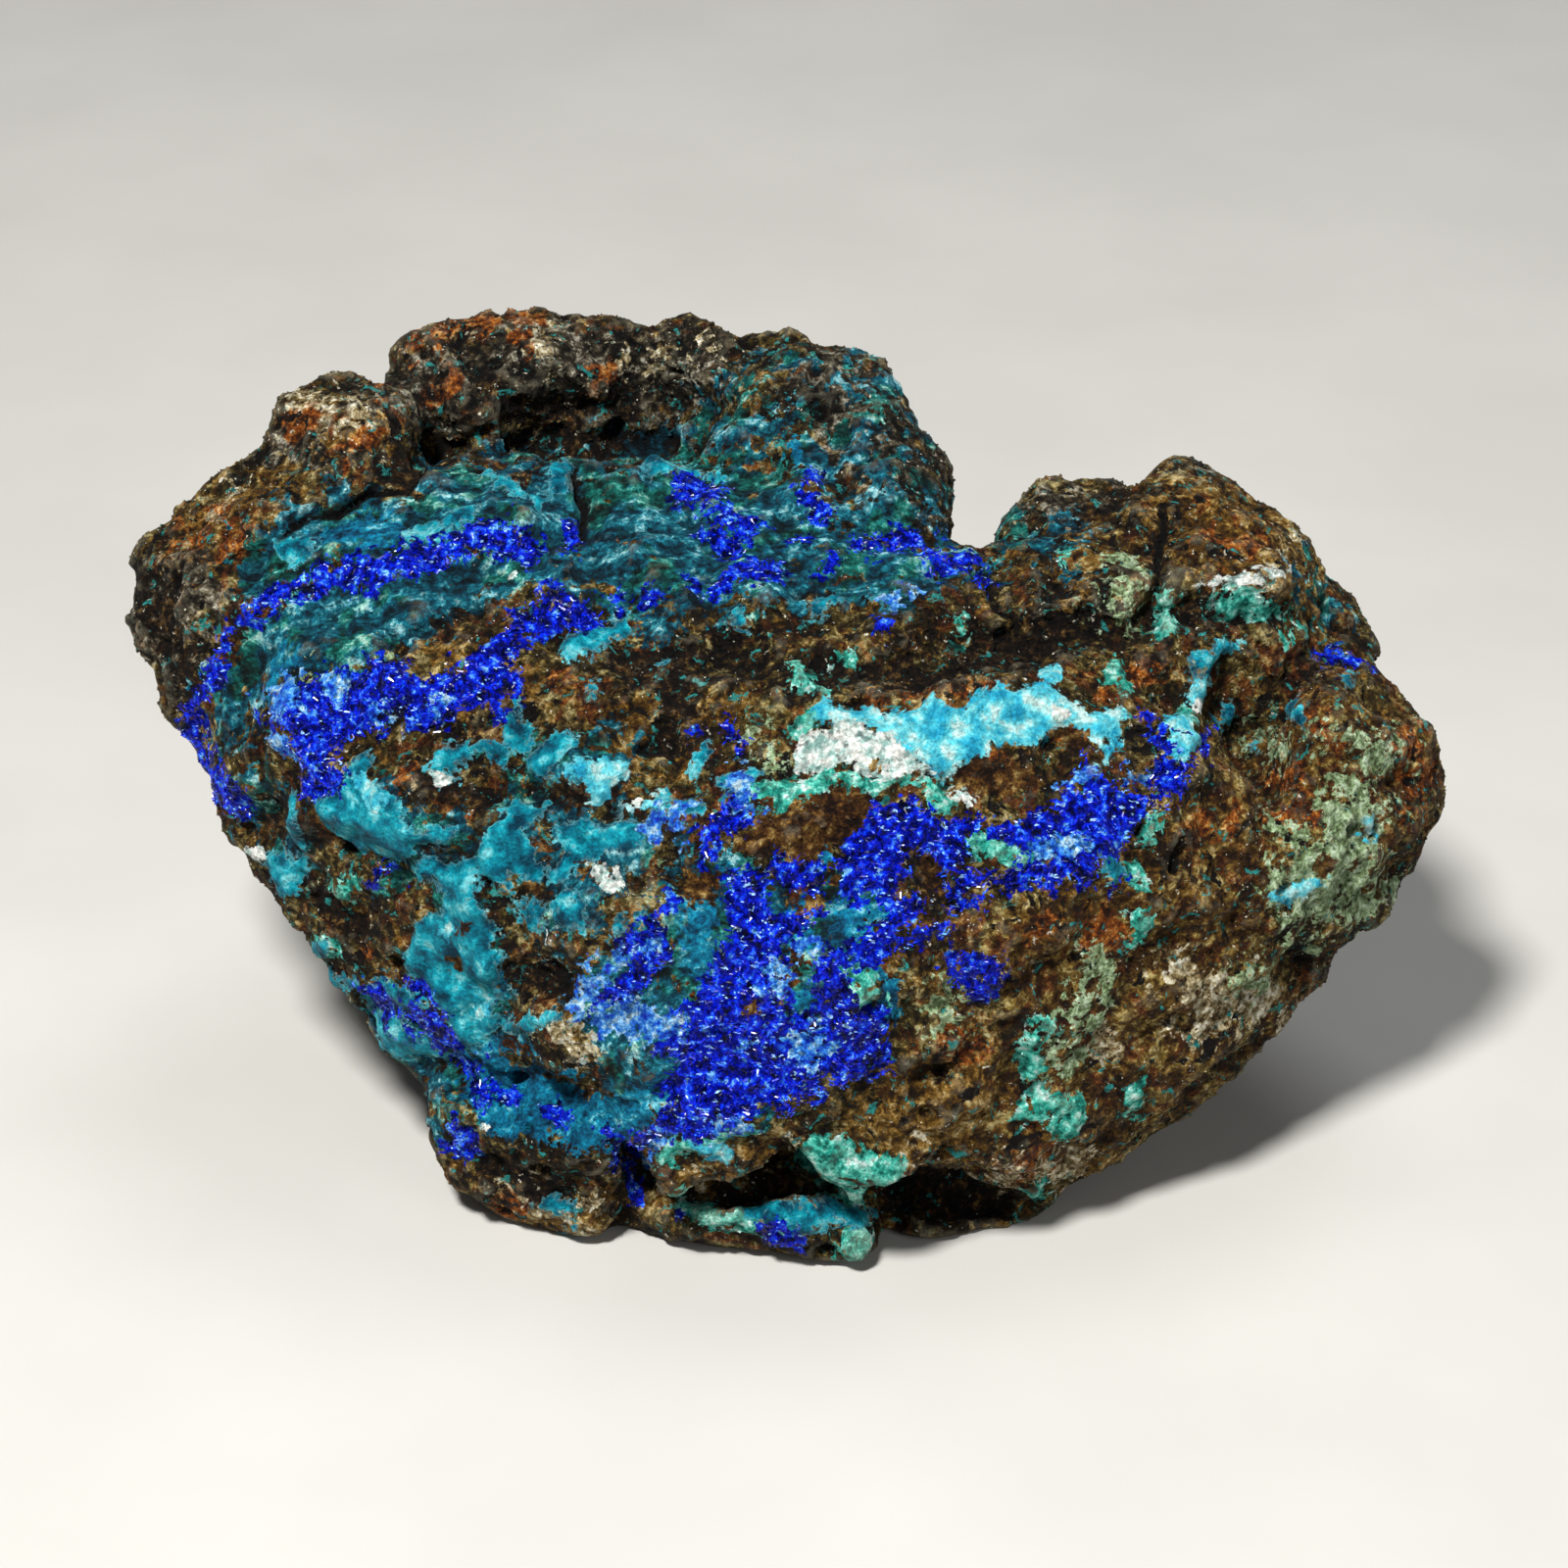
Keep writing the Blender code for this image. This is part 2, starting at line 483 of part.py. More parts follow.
def ore_material():
    """Dull brown ore: the average of the crusts and the matrix."""
    material = bpy.data.materials.new("copper_ore")
    material.use_nodes = True
    shader = material.node_tree.nodes["Principled BSDF"]
    shader.inputs["Base Color"].default_value = (0.11, 0.13, 0.13, 1)
    shader.inputs["Roughness"].default_value = 0.75
    shader.inputs["Metallic"].default_value = 0.0
    return material


def build():
    clear_scene()
    lump = fracture_blocks(new_collection("azurite_malachite_specimen"))
    fuse(lump)
    brush_face(lump)
    roughen(lump)
    thin_out(lump)
    break_flat(lump)
    settle_on_origin(lump)
    lump.data.materials.clear()
    lump.data.materials.append(ore_material())
    lump.data.shade_flat()


build()
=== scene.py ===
import math

import bmesh
import bpy
import numpy as np
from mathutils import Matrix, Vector, noise


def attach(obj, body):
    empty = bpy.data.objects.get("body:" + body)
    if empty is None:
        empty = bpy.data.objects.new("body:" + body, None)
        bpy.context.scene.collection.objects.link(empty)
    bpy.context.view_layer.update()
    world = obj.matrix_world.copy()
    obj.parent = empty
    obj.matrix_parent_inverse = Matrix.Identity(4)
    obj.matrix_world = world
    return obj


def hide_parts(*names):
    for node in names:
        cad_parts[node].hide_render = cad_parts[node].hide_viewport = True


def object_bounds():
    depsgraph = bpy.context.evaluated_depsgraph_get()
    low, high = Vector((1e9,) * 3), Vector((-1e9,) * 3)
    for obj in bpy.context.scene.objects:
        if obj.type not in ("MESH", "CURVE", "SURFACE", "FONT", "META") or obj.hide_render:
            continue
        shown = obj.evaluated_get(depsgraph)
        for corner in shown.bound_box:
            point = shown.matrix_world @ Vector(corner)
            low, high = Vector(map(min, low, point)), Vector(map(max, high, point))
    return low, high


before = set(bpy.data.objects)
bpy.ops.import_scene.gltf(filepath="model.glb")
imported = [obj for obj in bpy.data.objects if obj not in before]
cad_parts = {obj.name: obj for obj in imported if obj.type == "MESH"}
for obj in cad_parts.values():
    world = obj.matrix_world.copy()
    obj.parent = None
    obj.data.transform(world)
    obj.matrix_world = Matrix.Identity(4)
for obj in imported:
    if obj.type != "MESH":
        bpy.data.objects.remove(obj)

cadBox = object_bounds()
mm = 0.001
rng = np.random.default_rng(41)        # every random draw below comes from here, always in the same order

# How the lump is looked at. Everything drawn on its face below is given in this view, in
# millimetres right of and above the middle of the picture: (right, up, half width) along the
# middle of a vein or spot, or (right, up) round the outline of a patch.
view = {
    "middle": (0.00006, -0.00919, 0.02945),   # metres, what lies in the middle of the picture
    "distance": 0.32763,                      # metres from there to the camera
    "elevation": 30.0,                        # degrees above the horizon
    "drawnScale": 0.99281,                    # real millimetres per drawn one
    "pixelsPerMm": 13.6,
    "imageSide": 1600,
    "sensor": 36.0,
}
elevation = math.radians(view["elevation"])
rightward = np.array((1.0, 0.0, 0.0))
upward = np.array((0.0, math.sin(elevation), math.cos(elevation)))
toward = np.array((0.0, -math.cos(elevation), math.sin(elevation)))


def asSeen(points):
    # metres to drawn millimetres: columns right, up and toward the camera
    away = (points - np.array(view["middle"])) / (mm * view["drawnScale"])
    near = away @ toward
    spread = 1 - near * mm * view["drawnScale"] / view["distance"]
    return np.column_stack((away @ rightward / spread, away @ upward / spread, near))


# What grows where on the face
azurite = [
    # the ribbon and the spots of the upper terrace
    [(-40.5, 12.3, .4), (-39, 13.4, .7), (-37, 14.5, .8), (-35, 15.6, .9), (-33, 16, .9), (-31, 15.7, .8),
     (-29, 16.4, .9), (-27, 17, .9), (-25, 17.6, .9), (-23, 18.3, 1), (-21, 18.5, 1), (-20, 18.8, .8),
     (-19, 17.5, .6)],
    [(-41, 12, .3), (-42, 10.7, .4), (-42.2, 9.5, .4), (-42.5, 8, .4), (-43, 6.8, .4), (-44, 6, .35),
     (-44.3, 4.5, .35), (-44, 3.5, .5), (-43.5, 1.5, .6), (-42.8, .8, .8), (-41.5, -.5, .9),
     (-40.8, -2, .7)],
    [(-18, 14.2, .4)], [(-21.8, 5.3, .4)], [(-15.8, 18.7, .7), (-16.5, 17.8, .4)], [(-12.7, 14.1, .4)],
    [(-10.3, 13.7, .5), (-9.2, 14, .4)],
    [(-7.5, 22, .9), (-6, 21.8, 1.1), (-5, 22.3, .6)], [(-5.5, 20.7, .5), (-4, 19.8, .6), (-2.3, 19.3, .5)],
    [(-5.8, 19, .5), (-4.2, 18.2, .6), (-3.3, 17.8, .4)],
    [(-5.3, 14.7, .5), (-4, 15.3, .7), (-3, 16.2, .7), (-1.5, 15.9, .6), (-.3, 16.2, .5)],
    [(.2, 17.7, .25), (1.2, 18, .2)], [(3.2, 16.3, .35)], [(-7.2, 15.2, .25)],
    [(1.8, 23, .5), (2, 21.6, .4), (3.3, 20, .4)],
    [(5.7, 18, .5), (7, 18.4, .8), (8.5, 18.6, .8), (10, 18.5, .6), (11, 17.5, .6), (12, 16.8, .7),
     (13, 16.6, .6), (14.3, 16.8, .4)],
    [(14.6, 15.2, .4)], [(7.5, 11.6, .4)], [(-4.3, 4.6, .4), (-4.2, 3.6, .4), (-3.2, 3.2, .45),
     (-3.3, 2.4, .25)],
    [(-6.2, 4.2, .3)],
    # the second band
    [(-39.6, 4.8), (-38.4, 5.8), (-37.4, 7.2), (-35.4, 8.2), (-33.4, 8), (-31.4, 8.2), (-30.8, 9),
     (-29, 9.8),
     (-28.2, 9.4), (-28.4, 8.4), (-26.6, 8), (-25, 8.6), (-23.6, 9), (-22.4, 10.2), (-21, 11.4),
     (-19.6, 13.2),
     (-17.6, 13.8), (-15.4, 13.6), (-13.6, 13.2), (-14.2, 12.2), (-15.6, 11.6), (-17.2, 11.3),
     (-18.8, 11.4),
     (-19.8, 10.6), (-20.4, 9.4), (-19.8, 8.2), (-19.4, 7), (-20.6, 6.6), (-22, 6.2), (-23, 5.8),
     (-24.6, 5),
     (-26, 4.2), (-27.4, 4.6), (-28.8, 5), (-30, 4.4), (-31.6, 4.2), (-33.4, 3.2), (-34.2, 2.2),
     (-33.4, 1.2),
     (-33.8, -.2), (-35, -.8), (-36, -.2), (-36.6, 1.4), (-37.2, 2.6), (-36.6, 4), (-37.4, 4.8),
     (-38.6, 4.4)],
    # the lower face: the great column, the slanting arm and the patches above
    [(2.2, -13.2), (3.6, -12.4), (4.4, -13.6), (4.8, -15.4), (5.6, -16.9), (6.8, -17), (7.5, -18.6),
     (7.6, -20.2),
     (6, -21.5), (4.5, -22.3), (3.2, -22), (2.6, -23.5), (1.2, -23.4), (.2, -24.5), (-1, -23.5),
     (-2.2, -24.5),
     (-4, -26), (-7, -26.8), (-9.2, -26.2), (-10.4, -26), (-9.2, -24.6), (-8.2, -23), (-8.2, -21.2),
     (-10, -20.2),
     (-9.4, -19.4), (-7.2, -18.4), (-8.8, -17.4), (-7, -16.2), (-5.8, -15.2), (-4.8, -13.2), (-4.3, -11),
     (-4.2, -9), (-4.7, -7.2), (-2.6, -6.9), (-1.4, -7.4), (-1.2, -8.8), (-.2, -9.6), (1.4, -9.8),
     (3.2, -8.8),
     (2.6, -9.8), (.8, -11.4), (0, -12.4), (-.4, -13.6), (.2, -15.6), (.4, -17.4), (2.4, -17.8),
     (2.6, -16), (2, -14.6)],
    [(-8, -12.3), (-8.4, -13.4), (-10, -14.8), (-12, -16.4), (-13.8, -17.6), (-14.6, -17), (-13.6, -15.4),
     (-12.4, -13.8), (-11, -12.6), (-9.6, -12.2)],
    [(-8.5, -8.9, .4), (-9.2, -10, .35), (-9.7, -11.4, .3)], [(-12.4, -12, .4), (-11.2, -11.6, .4)],
    [(-6, -4), (-6, -5.2), (-5.5, -5.7), (-5, -5), (-4, -4.2), (-3.6, -3.6), (-2.6, -3), (-1.6, -2.8),
     (-2.6, -2.2),
     (-3.3, -1.4), (-3.8, -1), (-4.5, -1.4), (-4.9, -2.4), (-5.5, -3.2)],
    [(0, -5.3), (1.2, -5.6), (2.9, -5.4), (3, -6.5), (2.6, -7.6), (1.8, -8.5), (.8, -8.4), (-.2, -7.2),
     (-1.1, -6.6),
     (-.4, -6)],
    [(4.3, -4.2), (5.5, -2.4), (7.2, -1.2), (9.2, -1), (10.2, -1.6), (10.6, -2.4), (11.4, -2.8),
     (13.2, -2.6),
     (14.4, -2.2), (14.6, -3), (13.8, -4.2), (13, -5.8), (12, -6.2), (11.2, -5.4), (10, -4.6), (9, -4.2),
     (9.2, -5.6), (9.4, -7), (8.6, -8), (9.5, -8.8), (10.2, -8.4), (10.8, -9), (10, -10.2), (8.8, -11),
     (8, -12.5), (6.6, -13.3), (5.2, -12.2), (5.8, -11), (6.6, -10), (8, -9.6), (7.8, -8.6), (6.4, -8.6),
     (5.4, -9.2), (4.6, -8.2), (4.8, -7), (4, -6.2), (4.2, -5.2)],
    [(9, -12, .6), (10.4, -11.2, .6), (12, -10.6, .6)], [(12, -7.6, .4), (13.5, -7.2, .6), (15.6, -7, .5)],
    [(12.2, -9.2, .6), (13, -8.8, .5)], [(14.8, -8.8, .35)],
    [(13, -13, .6), (15.2, -13.4, .6), (16, -14.4, .7), (14.5, -15.3, .8), (13, -14.4, .6)],
    [(3.5, -20.6, .8), (6.4, -22, .3)],
    # the right hand band and what runs up from it
    [(15.6, -2.8), (18, -2.4), (20, -1.6), (22, -1), (23.2, -.4), (24.4, -.2), (25.4, 0), (26.6, -.4),
     (27.2, -1.6),
     (26.8, -2.8), (26, -4.4), (25, -5.2), (23.4, -6), (23.2, -7.6), (21.6, -7.2), (20, -7.8), (18, -7.2),
     (16.4, -7.6), (15, -6.6), (17.5, -6.2), (19.5, -5.6), (20, -4.8), (18, -4.4), (16.5, -3.8),
     (15.5, -3.4)],
    [(27.8, 1), (28.6, 1.6), (30, 1.2), (31.6, 2.2), (32, 3.8), (31, 2.8), (30, .2), (28.8, -.8),
     (28, -2), (27.8, -.4)],
    [(28.5, 3.8, .25), (28.8, 2.2, .3)], [(22.8, 2.4, .35)], [(27.3, 4.7, .3)], [(25, -7.7, .25)],
    # the low left corner
    [(-28.6, -14.4), (-27.4, -14.8), (-26, -15.6), (-25.2, -16.4), (-24.6, -18), (-24.2, -19.4),
     (-25.6, -19.8),
     (-27, -18.8), (-28.4, -17.8), (-29.4, -17.2), (-27.6, -17), (-26.4, -16.8), (-27.2, -15.8)],
    [(-31.4, -15.2, .35), (-30, -16.2, .35)], [(-30, -6.7, .5)],
    [(-25, -20.2), (-23.6, -20.6), (-22.6, -20.8), (-22.4, -21.5), (-24, -21.5)],
    [(-23.8, -22.2), (-22.2, -22), (-20.6, -22.8), (-19.8, -23.6), (-20.4, -24.1), (-22, -23.6),
     (-22.8, -24.6),
     (-23.6, -23.2)],
    [(-25.4, -25.6), (-24.4, -25.4), (-24, -26.6), (-23.6, -27.6), (-24.6, -28), (-25.6, -27.4),
     (-25.4, -26.4)],
    [(-18, -24.6), (-17.2, -24.4), (-16.6, -25), (-16.2, -26.2), (-17, -26.2), (-17.8, -25.6)],
    [(-13.4, -26.1, .25), (-12.8, -26.5, .2)], [(-8.9, -22.8, .3)],
    [(-10.7, -26, .4), (-11.5, -27, .55), (-11.7, -28.4, .5), (-11.3, -31, .3)],
    [(40, 9.7, .2), (42.5, 9.4, .25), (43.8, 8.6, .2)], [(-1, -33.3, .8), (1, -34, .4)], [(-8, -32.5, .3)],
]
smalt = [                                     # thin, pale azurite
    [(0, -18.8), (1.5, -18.2), (3.6, -18.6), (3.8, -19.4), (2.6, -20.6), (1.2, -21.8), (0, -21.4),
     (-.6, -20)],
    [(-14.8, -17.6), (-13, -16.8), (-11, -16.2), (-9.2, -16.8), (-7.4, -17.6), (-8.2, -18.6), (-10, -19),
     (-12.4, -18.8), (-14.2, -18.8)],
    [(-.5, -13.9, .45), (-.5, -15, .4)], [(-10.2, -11.8, .5), (-11, -12.3, .3)],
    [(1, -12, .4), (2.4, -11.6, .3)],
    [(18.5, -3.9), (22.8, -4), (23, -5.2), (20, -5.8), (18, -5.6)], [(22.2, .3, .7), (23.4, .6, .6)],
    [(26.5, .8, .5), (27.4, .6, .4)], [(-10, -27, .6), (-10.4, -28.6, .4)],
    [(9, 13.9, .5), (10.5, 14.2, .3)],
    [(-38.4, 3.6, .5), (-37.6, 1.8, .5)], [(-38, 6.2, .7), (-36, 7.2, .8), (-33.5, 7.4, .7)],
    [(-31, 5.4, .5), (-29.2, 4.8, .4)], [(-26, 6.2, .4), (-24.6, 7, .3)], [(-8, -2.4, .9), (-10, -3, .7)],
    [(-3.4, .2, .6), (-2.4, -1.6, .5)], [(-5.4, -25.6, .5), (-3, -25.8, .5), (-1.6, -26.2, .3)],
    [(-12.8, -13.2, .5), (-14.8, -15, .6), (-15.4, -16.4, .6)], [(-3, -19.8, .5), (-1.4, -19.4, .4)],
]
aqua = [                                      # thick, pale chrysocolla
    # the bright band
    [(2, 6.2), (2.6, 6.6), (4, 5.9), (6, 5.6), (8, 5.2), (9.6, 5.6), (10.8, 6.4), (12, 5.6), (13.5, 5.6),
     (14.4, 6.2),
     (16, 7), (17.4, 7.2), (18.6, 7.2), (19.5, 8.9), (20.2, 8.6), (20.8, 7.4), (21.8, 6.2), (23, 5.4),
     (25, 5.4),
     (25.2, 4.4), (24.4, 3.2), (24.2, 1.8), (23.6, 2.2), (22.6, 3.2), (21.4, 4.2), (20.4, 3.9), (19.5, 3.2),
     (18, 3.4), (16, 3.2), (14.8, 2.4), (13.4, 2.2), (12.6, 1.4), (11.8, .6), (10.6, 1.2), (9.6, 2),
     (8.4, 2.8),
     (7.4, 3.6), (6, 4.2), (4.6, 4.6), (3.2, 4.6), (2.2, 4.6)],
    [(-15.8, 1.2), (-15.2, 1.9), (-14.4, 1.8), (-13.9, 1), (-13.2, 1.9), (-12.2, 1.6), (-11.4, 1.8),
     (-11.2, .8),
     (-12.4, -.2), (-13.6, -1.1), (-14.8, -.8), (-15.6, .2)],
    [(29.2, 4.6, .5), (29.8, 3.4, .9), (29.4, 2.4, .7)], [(31, 7.6, .4), (30.5, 6.2, .6)],
    [(-9.8, -1.2, .4)],
    [(-25, -11.4, .3)], [(-23.4, -16.2, .4), (-22.4, -17, .3)], [(-31.6, .6, .4), (-30.6, -1.4, .6)],
    [(-4.4, -28.2, .3), (-8.6, -26.4, .3)], [(43.6, -2.2, .5), (44, -4, .4)],
    [(37.4, -8.4, .4), (39.6, -7.8, .5)],
]
turquoise = [
    # patches of the middle and the left
    [(-19.4, 2.8), (-18.2, 3.2), (-17, 3.8), (-16, 3.6), (-15.9, 2.4), (-16.6, 1.4), (-17.8, 1.2),
     (-19, 1.4)],
    [(-16.4, -3.2), (-15.4, -2.6), (-14.2, -3.2), (-13, -2.8), (-11.6, -2.2), (-10.8, -2.8), (-10.8, -4.2),
     (-11.8, -5.2), (-13.4, -5), (-14.4, -5.8), (-15.6, -5.4), (-16.6, -4.4)],
    [(-17.8, -7.4), (-17, -6), (-16, -5.2), (-15.6, -6.2), (-16.4, -7.2)],
    [(-17.6, -9), (-16.4, -8.3), (-15.4, -9), (-14.8, -10), (-15.2, -10.8), (-16.6, -10.4)],
    [(-13, -10.4), (-12.2, -10.2), (-12, -11), (-12.8, -11.6)],
    [(-34.8, -1.2), (-33.4, -.2), (-32.6, 1.6), (-31.4, 2.4), (-30.8, 1.8), (-31.6, .6), (-30, .2),
     (-29.4, -1.2),
     (-28.8, -2.6), (-27.6, -3.4), (-26, -3), (-24.8, -3.2), (-24.6, -4), (-26.2, -4.8), (-27.8, -4.6),
     (-28.2, -5.6), (-29.6, -5.8), (-31.4, -5.2), (-32.6, -4.2), (-33.4, -2.8), (-34.6, -2.2)],
    [(-21.4, -1.6), (-20.4, -1), (-19, -1.8), (-18.2, -1.2), (-17.8, -1.8), (-18.8, -3.2), (-19.4, -4.4),
     (-18.4, -5.4), (-17.8, -6.6), (-19, -7.4), (-20.4, -7), (-20.2, -8.2), (-19.4, -9), (-18.2, -9.2),
     (-17.8, -10.6), (-19, -10.8), (-20.2, -9.8), (-21, -8), (-22.4, -7), (-23.2, -5.4), (-22.2, -3.8),
     (-21, -2.8)],
    [(-27.8, -6.2), (-26.4, -5.4), (-25.2, -6.6), (-24.2, -5.6), (-23.4, -5.2), (-23, -7), (-23.2, -8.6),
     (-22.8, -10), (-21.8, -11.4), (-21.4, -13.4), (-21.6, -15), (-21.2, -17), (-21.4, -18.6), (-23, -19.4),
     (-24.4, -18.6), (-25, -16.8), (-26.2, -15.6), (-28, -14.4), (-28.4, -13), (-27.6, -11.4),
     (-27.8, -10.2),
     (-26.4, -9.8), (-25.8, -8.4), (-26, -7.4), (-27.4, -7.2)],
    [(-31.8, -16.4), (-30.2, -16.8), (-29, -17.8), (-27.4, -18.8), (-25.4, -19.6), (-24.6, -20.2),
     (-26, -20.6),
     (-28.6, -20.4), (-30, -19.8), (-31, -18)],
    [(-34.6, -14), (-32.6, -14.4), (-30.4, -15.2), (-28, -15.2), (-26.6, -16.6), (-27.4, -16.9),
     (-29.6, -16.2),
     (-31.8, -15.4), (-33.8, -15)],
    [(-26, 2.8), (-24.6, 3.2), (-23.8, 2.4), (-22.6, 3), (-21, 3), (-20.6, 4.2), (-20.8, 5.4), (-19.6, 6.4),
     (-19.2, 4.2), (-20, 2.6), (-21.2, 1.8), (-22.8, 2), (-24.4, 1.6), (-25.4, .2), (-26.4, 1)],
    [(-37.2, -1, .4), (-36.4, -3, .6), (-36.2, -4.4, .4)], [(-38, -5.4, .8), (-37, -6, .9),
     (-37.2, -7.6, .6)],
    [(-34.6, -12.3, .5)], [(-14.3, 6.7, .6)], [(-8.8, -1.6, .7), (-6.6, -2.2, .7)],
    [(-4.6, .2, .5), (-2, .6, .4)],
    [(-6, 3, .4), (-6.6, .6, .3)], [(-15.5, 10.3, 1), (-14, 11.5, 1), (-12, 12.2, .7)], [(-9, 9.2, .3)],
    [(-17.3, -6.5, .5)], [(-18.6, -9.6, .6)], [(-21, -18.4, .4), (-17.6, -17.6, .5)],
    # the vein up the right hand side
    [(34, 10.6, .4), (32.6, 10.3, .45), (31.6, 9.3, .45), (31.1, 8.2, .45), (30.6, 7, .7)],
    [(32.4, 5.9), (33.8, 5.9), (33.8, 4.5), (32.4, 4.6)],
    [(38.2, 5.6, .4), (38.3, 4.8, .4)], [(24.2, -6, .5), (25, -6.8, .6)], [(35.4, 2.8, .4)],
    [(42.5, 8, .3)],
    # rims and stripes of the terrace, and the foot
    [(-37.5, 17.4, 1), (-35.6, 18, .7)], [(-28, 18.5, .6), (-24, 20, .6)], [(-22, 23, .5), (-19, 21.5, .5)],
    [(-17, 22.8, .9)], [(-10, 23.3, .4), (-5, 23.3, .4)], [(2.4, 12.9, .5), (4.4, 13.4, .4)],
    [(-3, 12.1, .6)],
    [(-3, -32.5, .4), (2, -32.6, .9), (6, -32.5, .6)], [(-18.5, -31.3, .3), (-16, -31.7, .3)],
    [(-17, -34.1, .25), (-15.6, -34, .2)],
]
teal = [                                      # copper silicate soaked into the rock
    [(-40, 16, 1.5), (-37, 17, 3), (-33, 19, 3), (-29, 18, 4), (-25, 20, 4), (-20, 21, 3.4), (-15, 20, 3.6),
     (-9, 20, 4), (-4, 20, 4.6), (0, 19, 3.8), (4, 17.5, 2), (9, 16.8, 2.4), (13, 16.6, 1.5)],
    [(-41, 8, 1.5), (-39, 9, 2.5), (-35, 11.5, 4), (-30, 14, 3.6), (-25, 15.5, 2.6), (-20, 16.6, 2),
     (-14, 16.5, 2.6), (-9, 16, 3), (-3, 15.5, 2.2), (3, 15.3, 2), (9, 15.3, 1.4)],
    [(-41, 4, .8), (-41.5, 7, 1)], [(-13.5, 13.8, 1.6), (-9, 13.4, 1.4)],
    [(0, 20, 2.5), (1.5, 24, 1.4), (2, 26, .6)], [(-4, 25, 1), (-1, 27.5, 1.6)], [(-6.2, 28, .8)],
    [(8.5, 29.3, .4), (7, 27, .5)], [(5, 20.3, 1.4), (9, 20.3, 1)],
    [(1, -9, .8)], [(5, -10.5, 1.8), (8.5, -9.5, 1)], [(3.5, -6, .7)], [(1, -16, 1.3)],
    [(-1, -25, .8)], [(-6.5, -9, 1.6), (-6.5, -12, 2.2), (-6.5, -15, 1.4)], [(-4, -6, 1)],
    [(-10.5, -20, 1.8), (-14, -20, 1.2)], [(-29, -9, 1), (-25, -9.5, 1.2)], [(-30, -1, 1), (-24, -4, 1.4)],
    [(-17, -5, 2), (-12, -5, 1.6)], [(-26, -23, 1.4), (-25, -27, 1)], [(-18, 2, 2), (-13, 1, 2)],
    [(-33, -2, 2.2), (-27, -7, 2.4), (-24.5, -14, 3.2), (-23, -18, 2.6)],
    [(-20, -3, 3), (-14, -4, 3), (-15, -9, 3), (-12, -17, 4), (-8, -21, 4)],
    [(-6, -8, 3), (-6, -13, 3.6), (-1, -10, 3)], [(5, -9, 3.2), (2, -16, 2.6)],
    [(-30, -17, 2), (-27, -20, 2.4)], [(-37, -4, 1.6), (-40, -1, 1.6)],
    [(-4, 27, .6), (-1, 30.5, .7), (.6, 32, .4)], [(5.5, 30.6, .6), (8, 29.5, .6), (10.4, 26.4, .5)],
    [(4, 27, .2), (6, 23, .6)],
    [(9, 24, .1), (11.5, 21, .5)], [(-12, 24.5, .8), (-7, 26.5, .8)], [(18, 18.5, 1.2), (21, 17.5, .9)],
    [(41, 12, .9), (39, 15.5, .5)],
]
deep = [                                      # smooth, deep blue-green silicate
    [(-23.6, -19.6), (-21, -20), (-19, -20.6), (-17, -21.8), (-15, -22.6), (-12, -23.4), (-11, -22),
     (-10.2, -21.2),
     (-8.4, -21), (-8.6, -23), (-9.4, -24.8), (-10.8, -26), (-11.8, -27.4), (-12.4, -28.4), (-14, -28.2),
     (-15.6, -27.6), (-18, -28.2), (-19.8, -27.6), (-21.4, -27.4), (-22.6, -26), (-23.4, -24.8),
     (-24.6, -22.8),
     (-24, -21)],
    [(1, -9, .7), (.4, -10.6, .6), (1.8, -12, .5)], [(5, -10.6, 1.2), (7.6, -9.4, 1)], [(3.4, -5.4, .4)],
    [(7.6, -15, 1), (7.4, -17.6, .8)], [(-6.4, -9.6, .9), (-6.4, -12, 1.2), (-6, -14.4, .7)],
    [(-5, -7, .6)],
    [(-34, 18.4, 1), (-30, 19.2, 1.2)], [(1.4, -16.4, .7)], [(-29.6, -18.6, .8), (-27, -19.8, .6)],
    [(24.6, -4.6, .7)],
    [(-22.4, -14.4, 1), (-23.4, -17.4, 1)], [(-36.6, 9.4, .7), (-38.6, 7, .5)],
    [(.6, 25.4, .5), (1.8, 22.6, .5)],
]
bare = [                                      # rock that shows through the wash
    [(-16.4, -18.6, 1.2), (-14.8, -20.2, 1)], [(-19.5, -14.6, 1.5), (-16, -15, 1.3)],
    [(-19.5, -17.5, 1), (-18.5, -18.5, .7)], [(-7.4, -7, 1.3)],
    [(-33, -10, 3), (-30, -12, 2.2), (-28, -9, 1.6)], [(-34.5, -6, 1.1), (-31, -7, 1)],
    [(-38.3, -3, 1.1), (-37, 0, .9), (-38.5, 2.5, .9)], [(-35, -2.6, .6), (-33, -5, .6)],
    [(-26, -5.2, .8), (-24, -4.8, .7)], [(-22.5, -8, .6), (-21, -9.8, .6), (-20.6, -11.4, .9)],
    [(-18.8, -8.1, .8)], [(-17.5, -4.6, .9), (-17.8, -3.2, .6)],
    [(-15, -12.6, 1.4), (-13, -11, 1), (-12.6, -9, .9)],
    [(-14.2, -6.5, .8)], [(-10, -7, .8)], [(-11.5, -10, .6)], [(-9, -4.4, .8)],
    [(-27, 1, 2), (-23, 0, 2), (-23, -3, 1.1)], [(-17, -.6, 1.2), (-13, -1.8, .8)],
    [(-3, -4, 1.3), (0, -3.2, 1.4), (3, -2, 1.2), (6, -1.2, .8)], [(11, -5.5, 1.2), (11.3, -8, 1)],
    [(-22, -29, 2.6), (-16, -30, 2.4), (-13.5, -28.5, 1)],
    [(-6, -29, 1.3), (-1, -28, 1.3), (.5, -26.8, .8)],
]
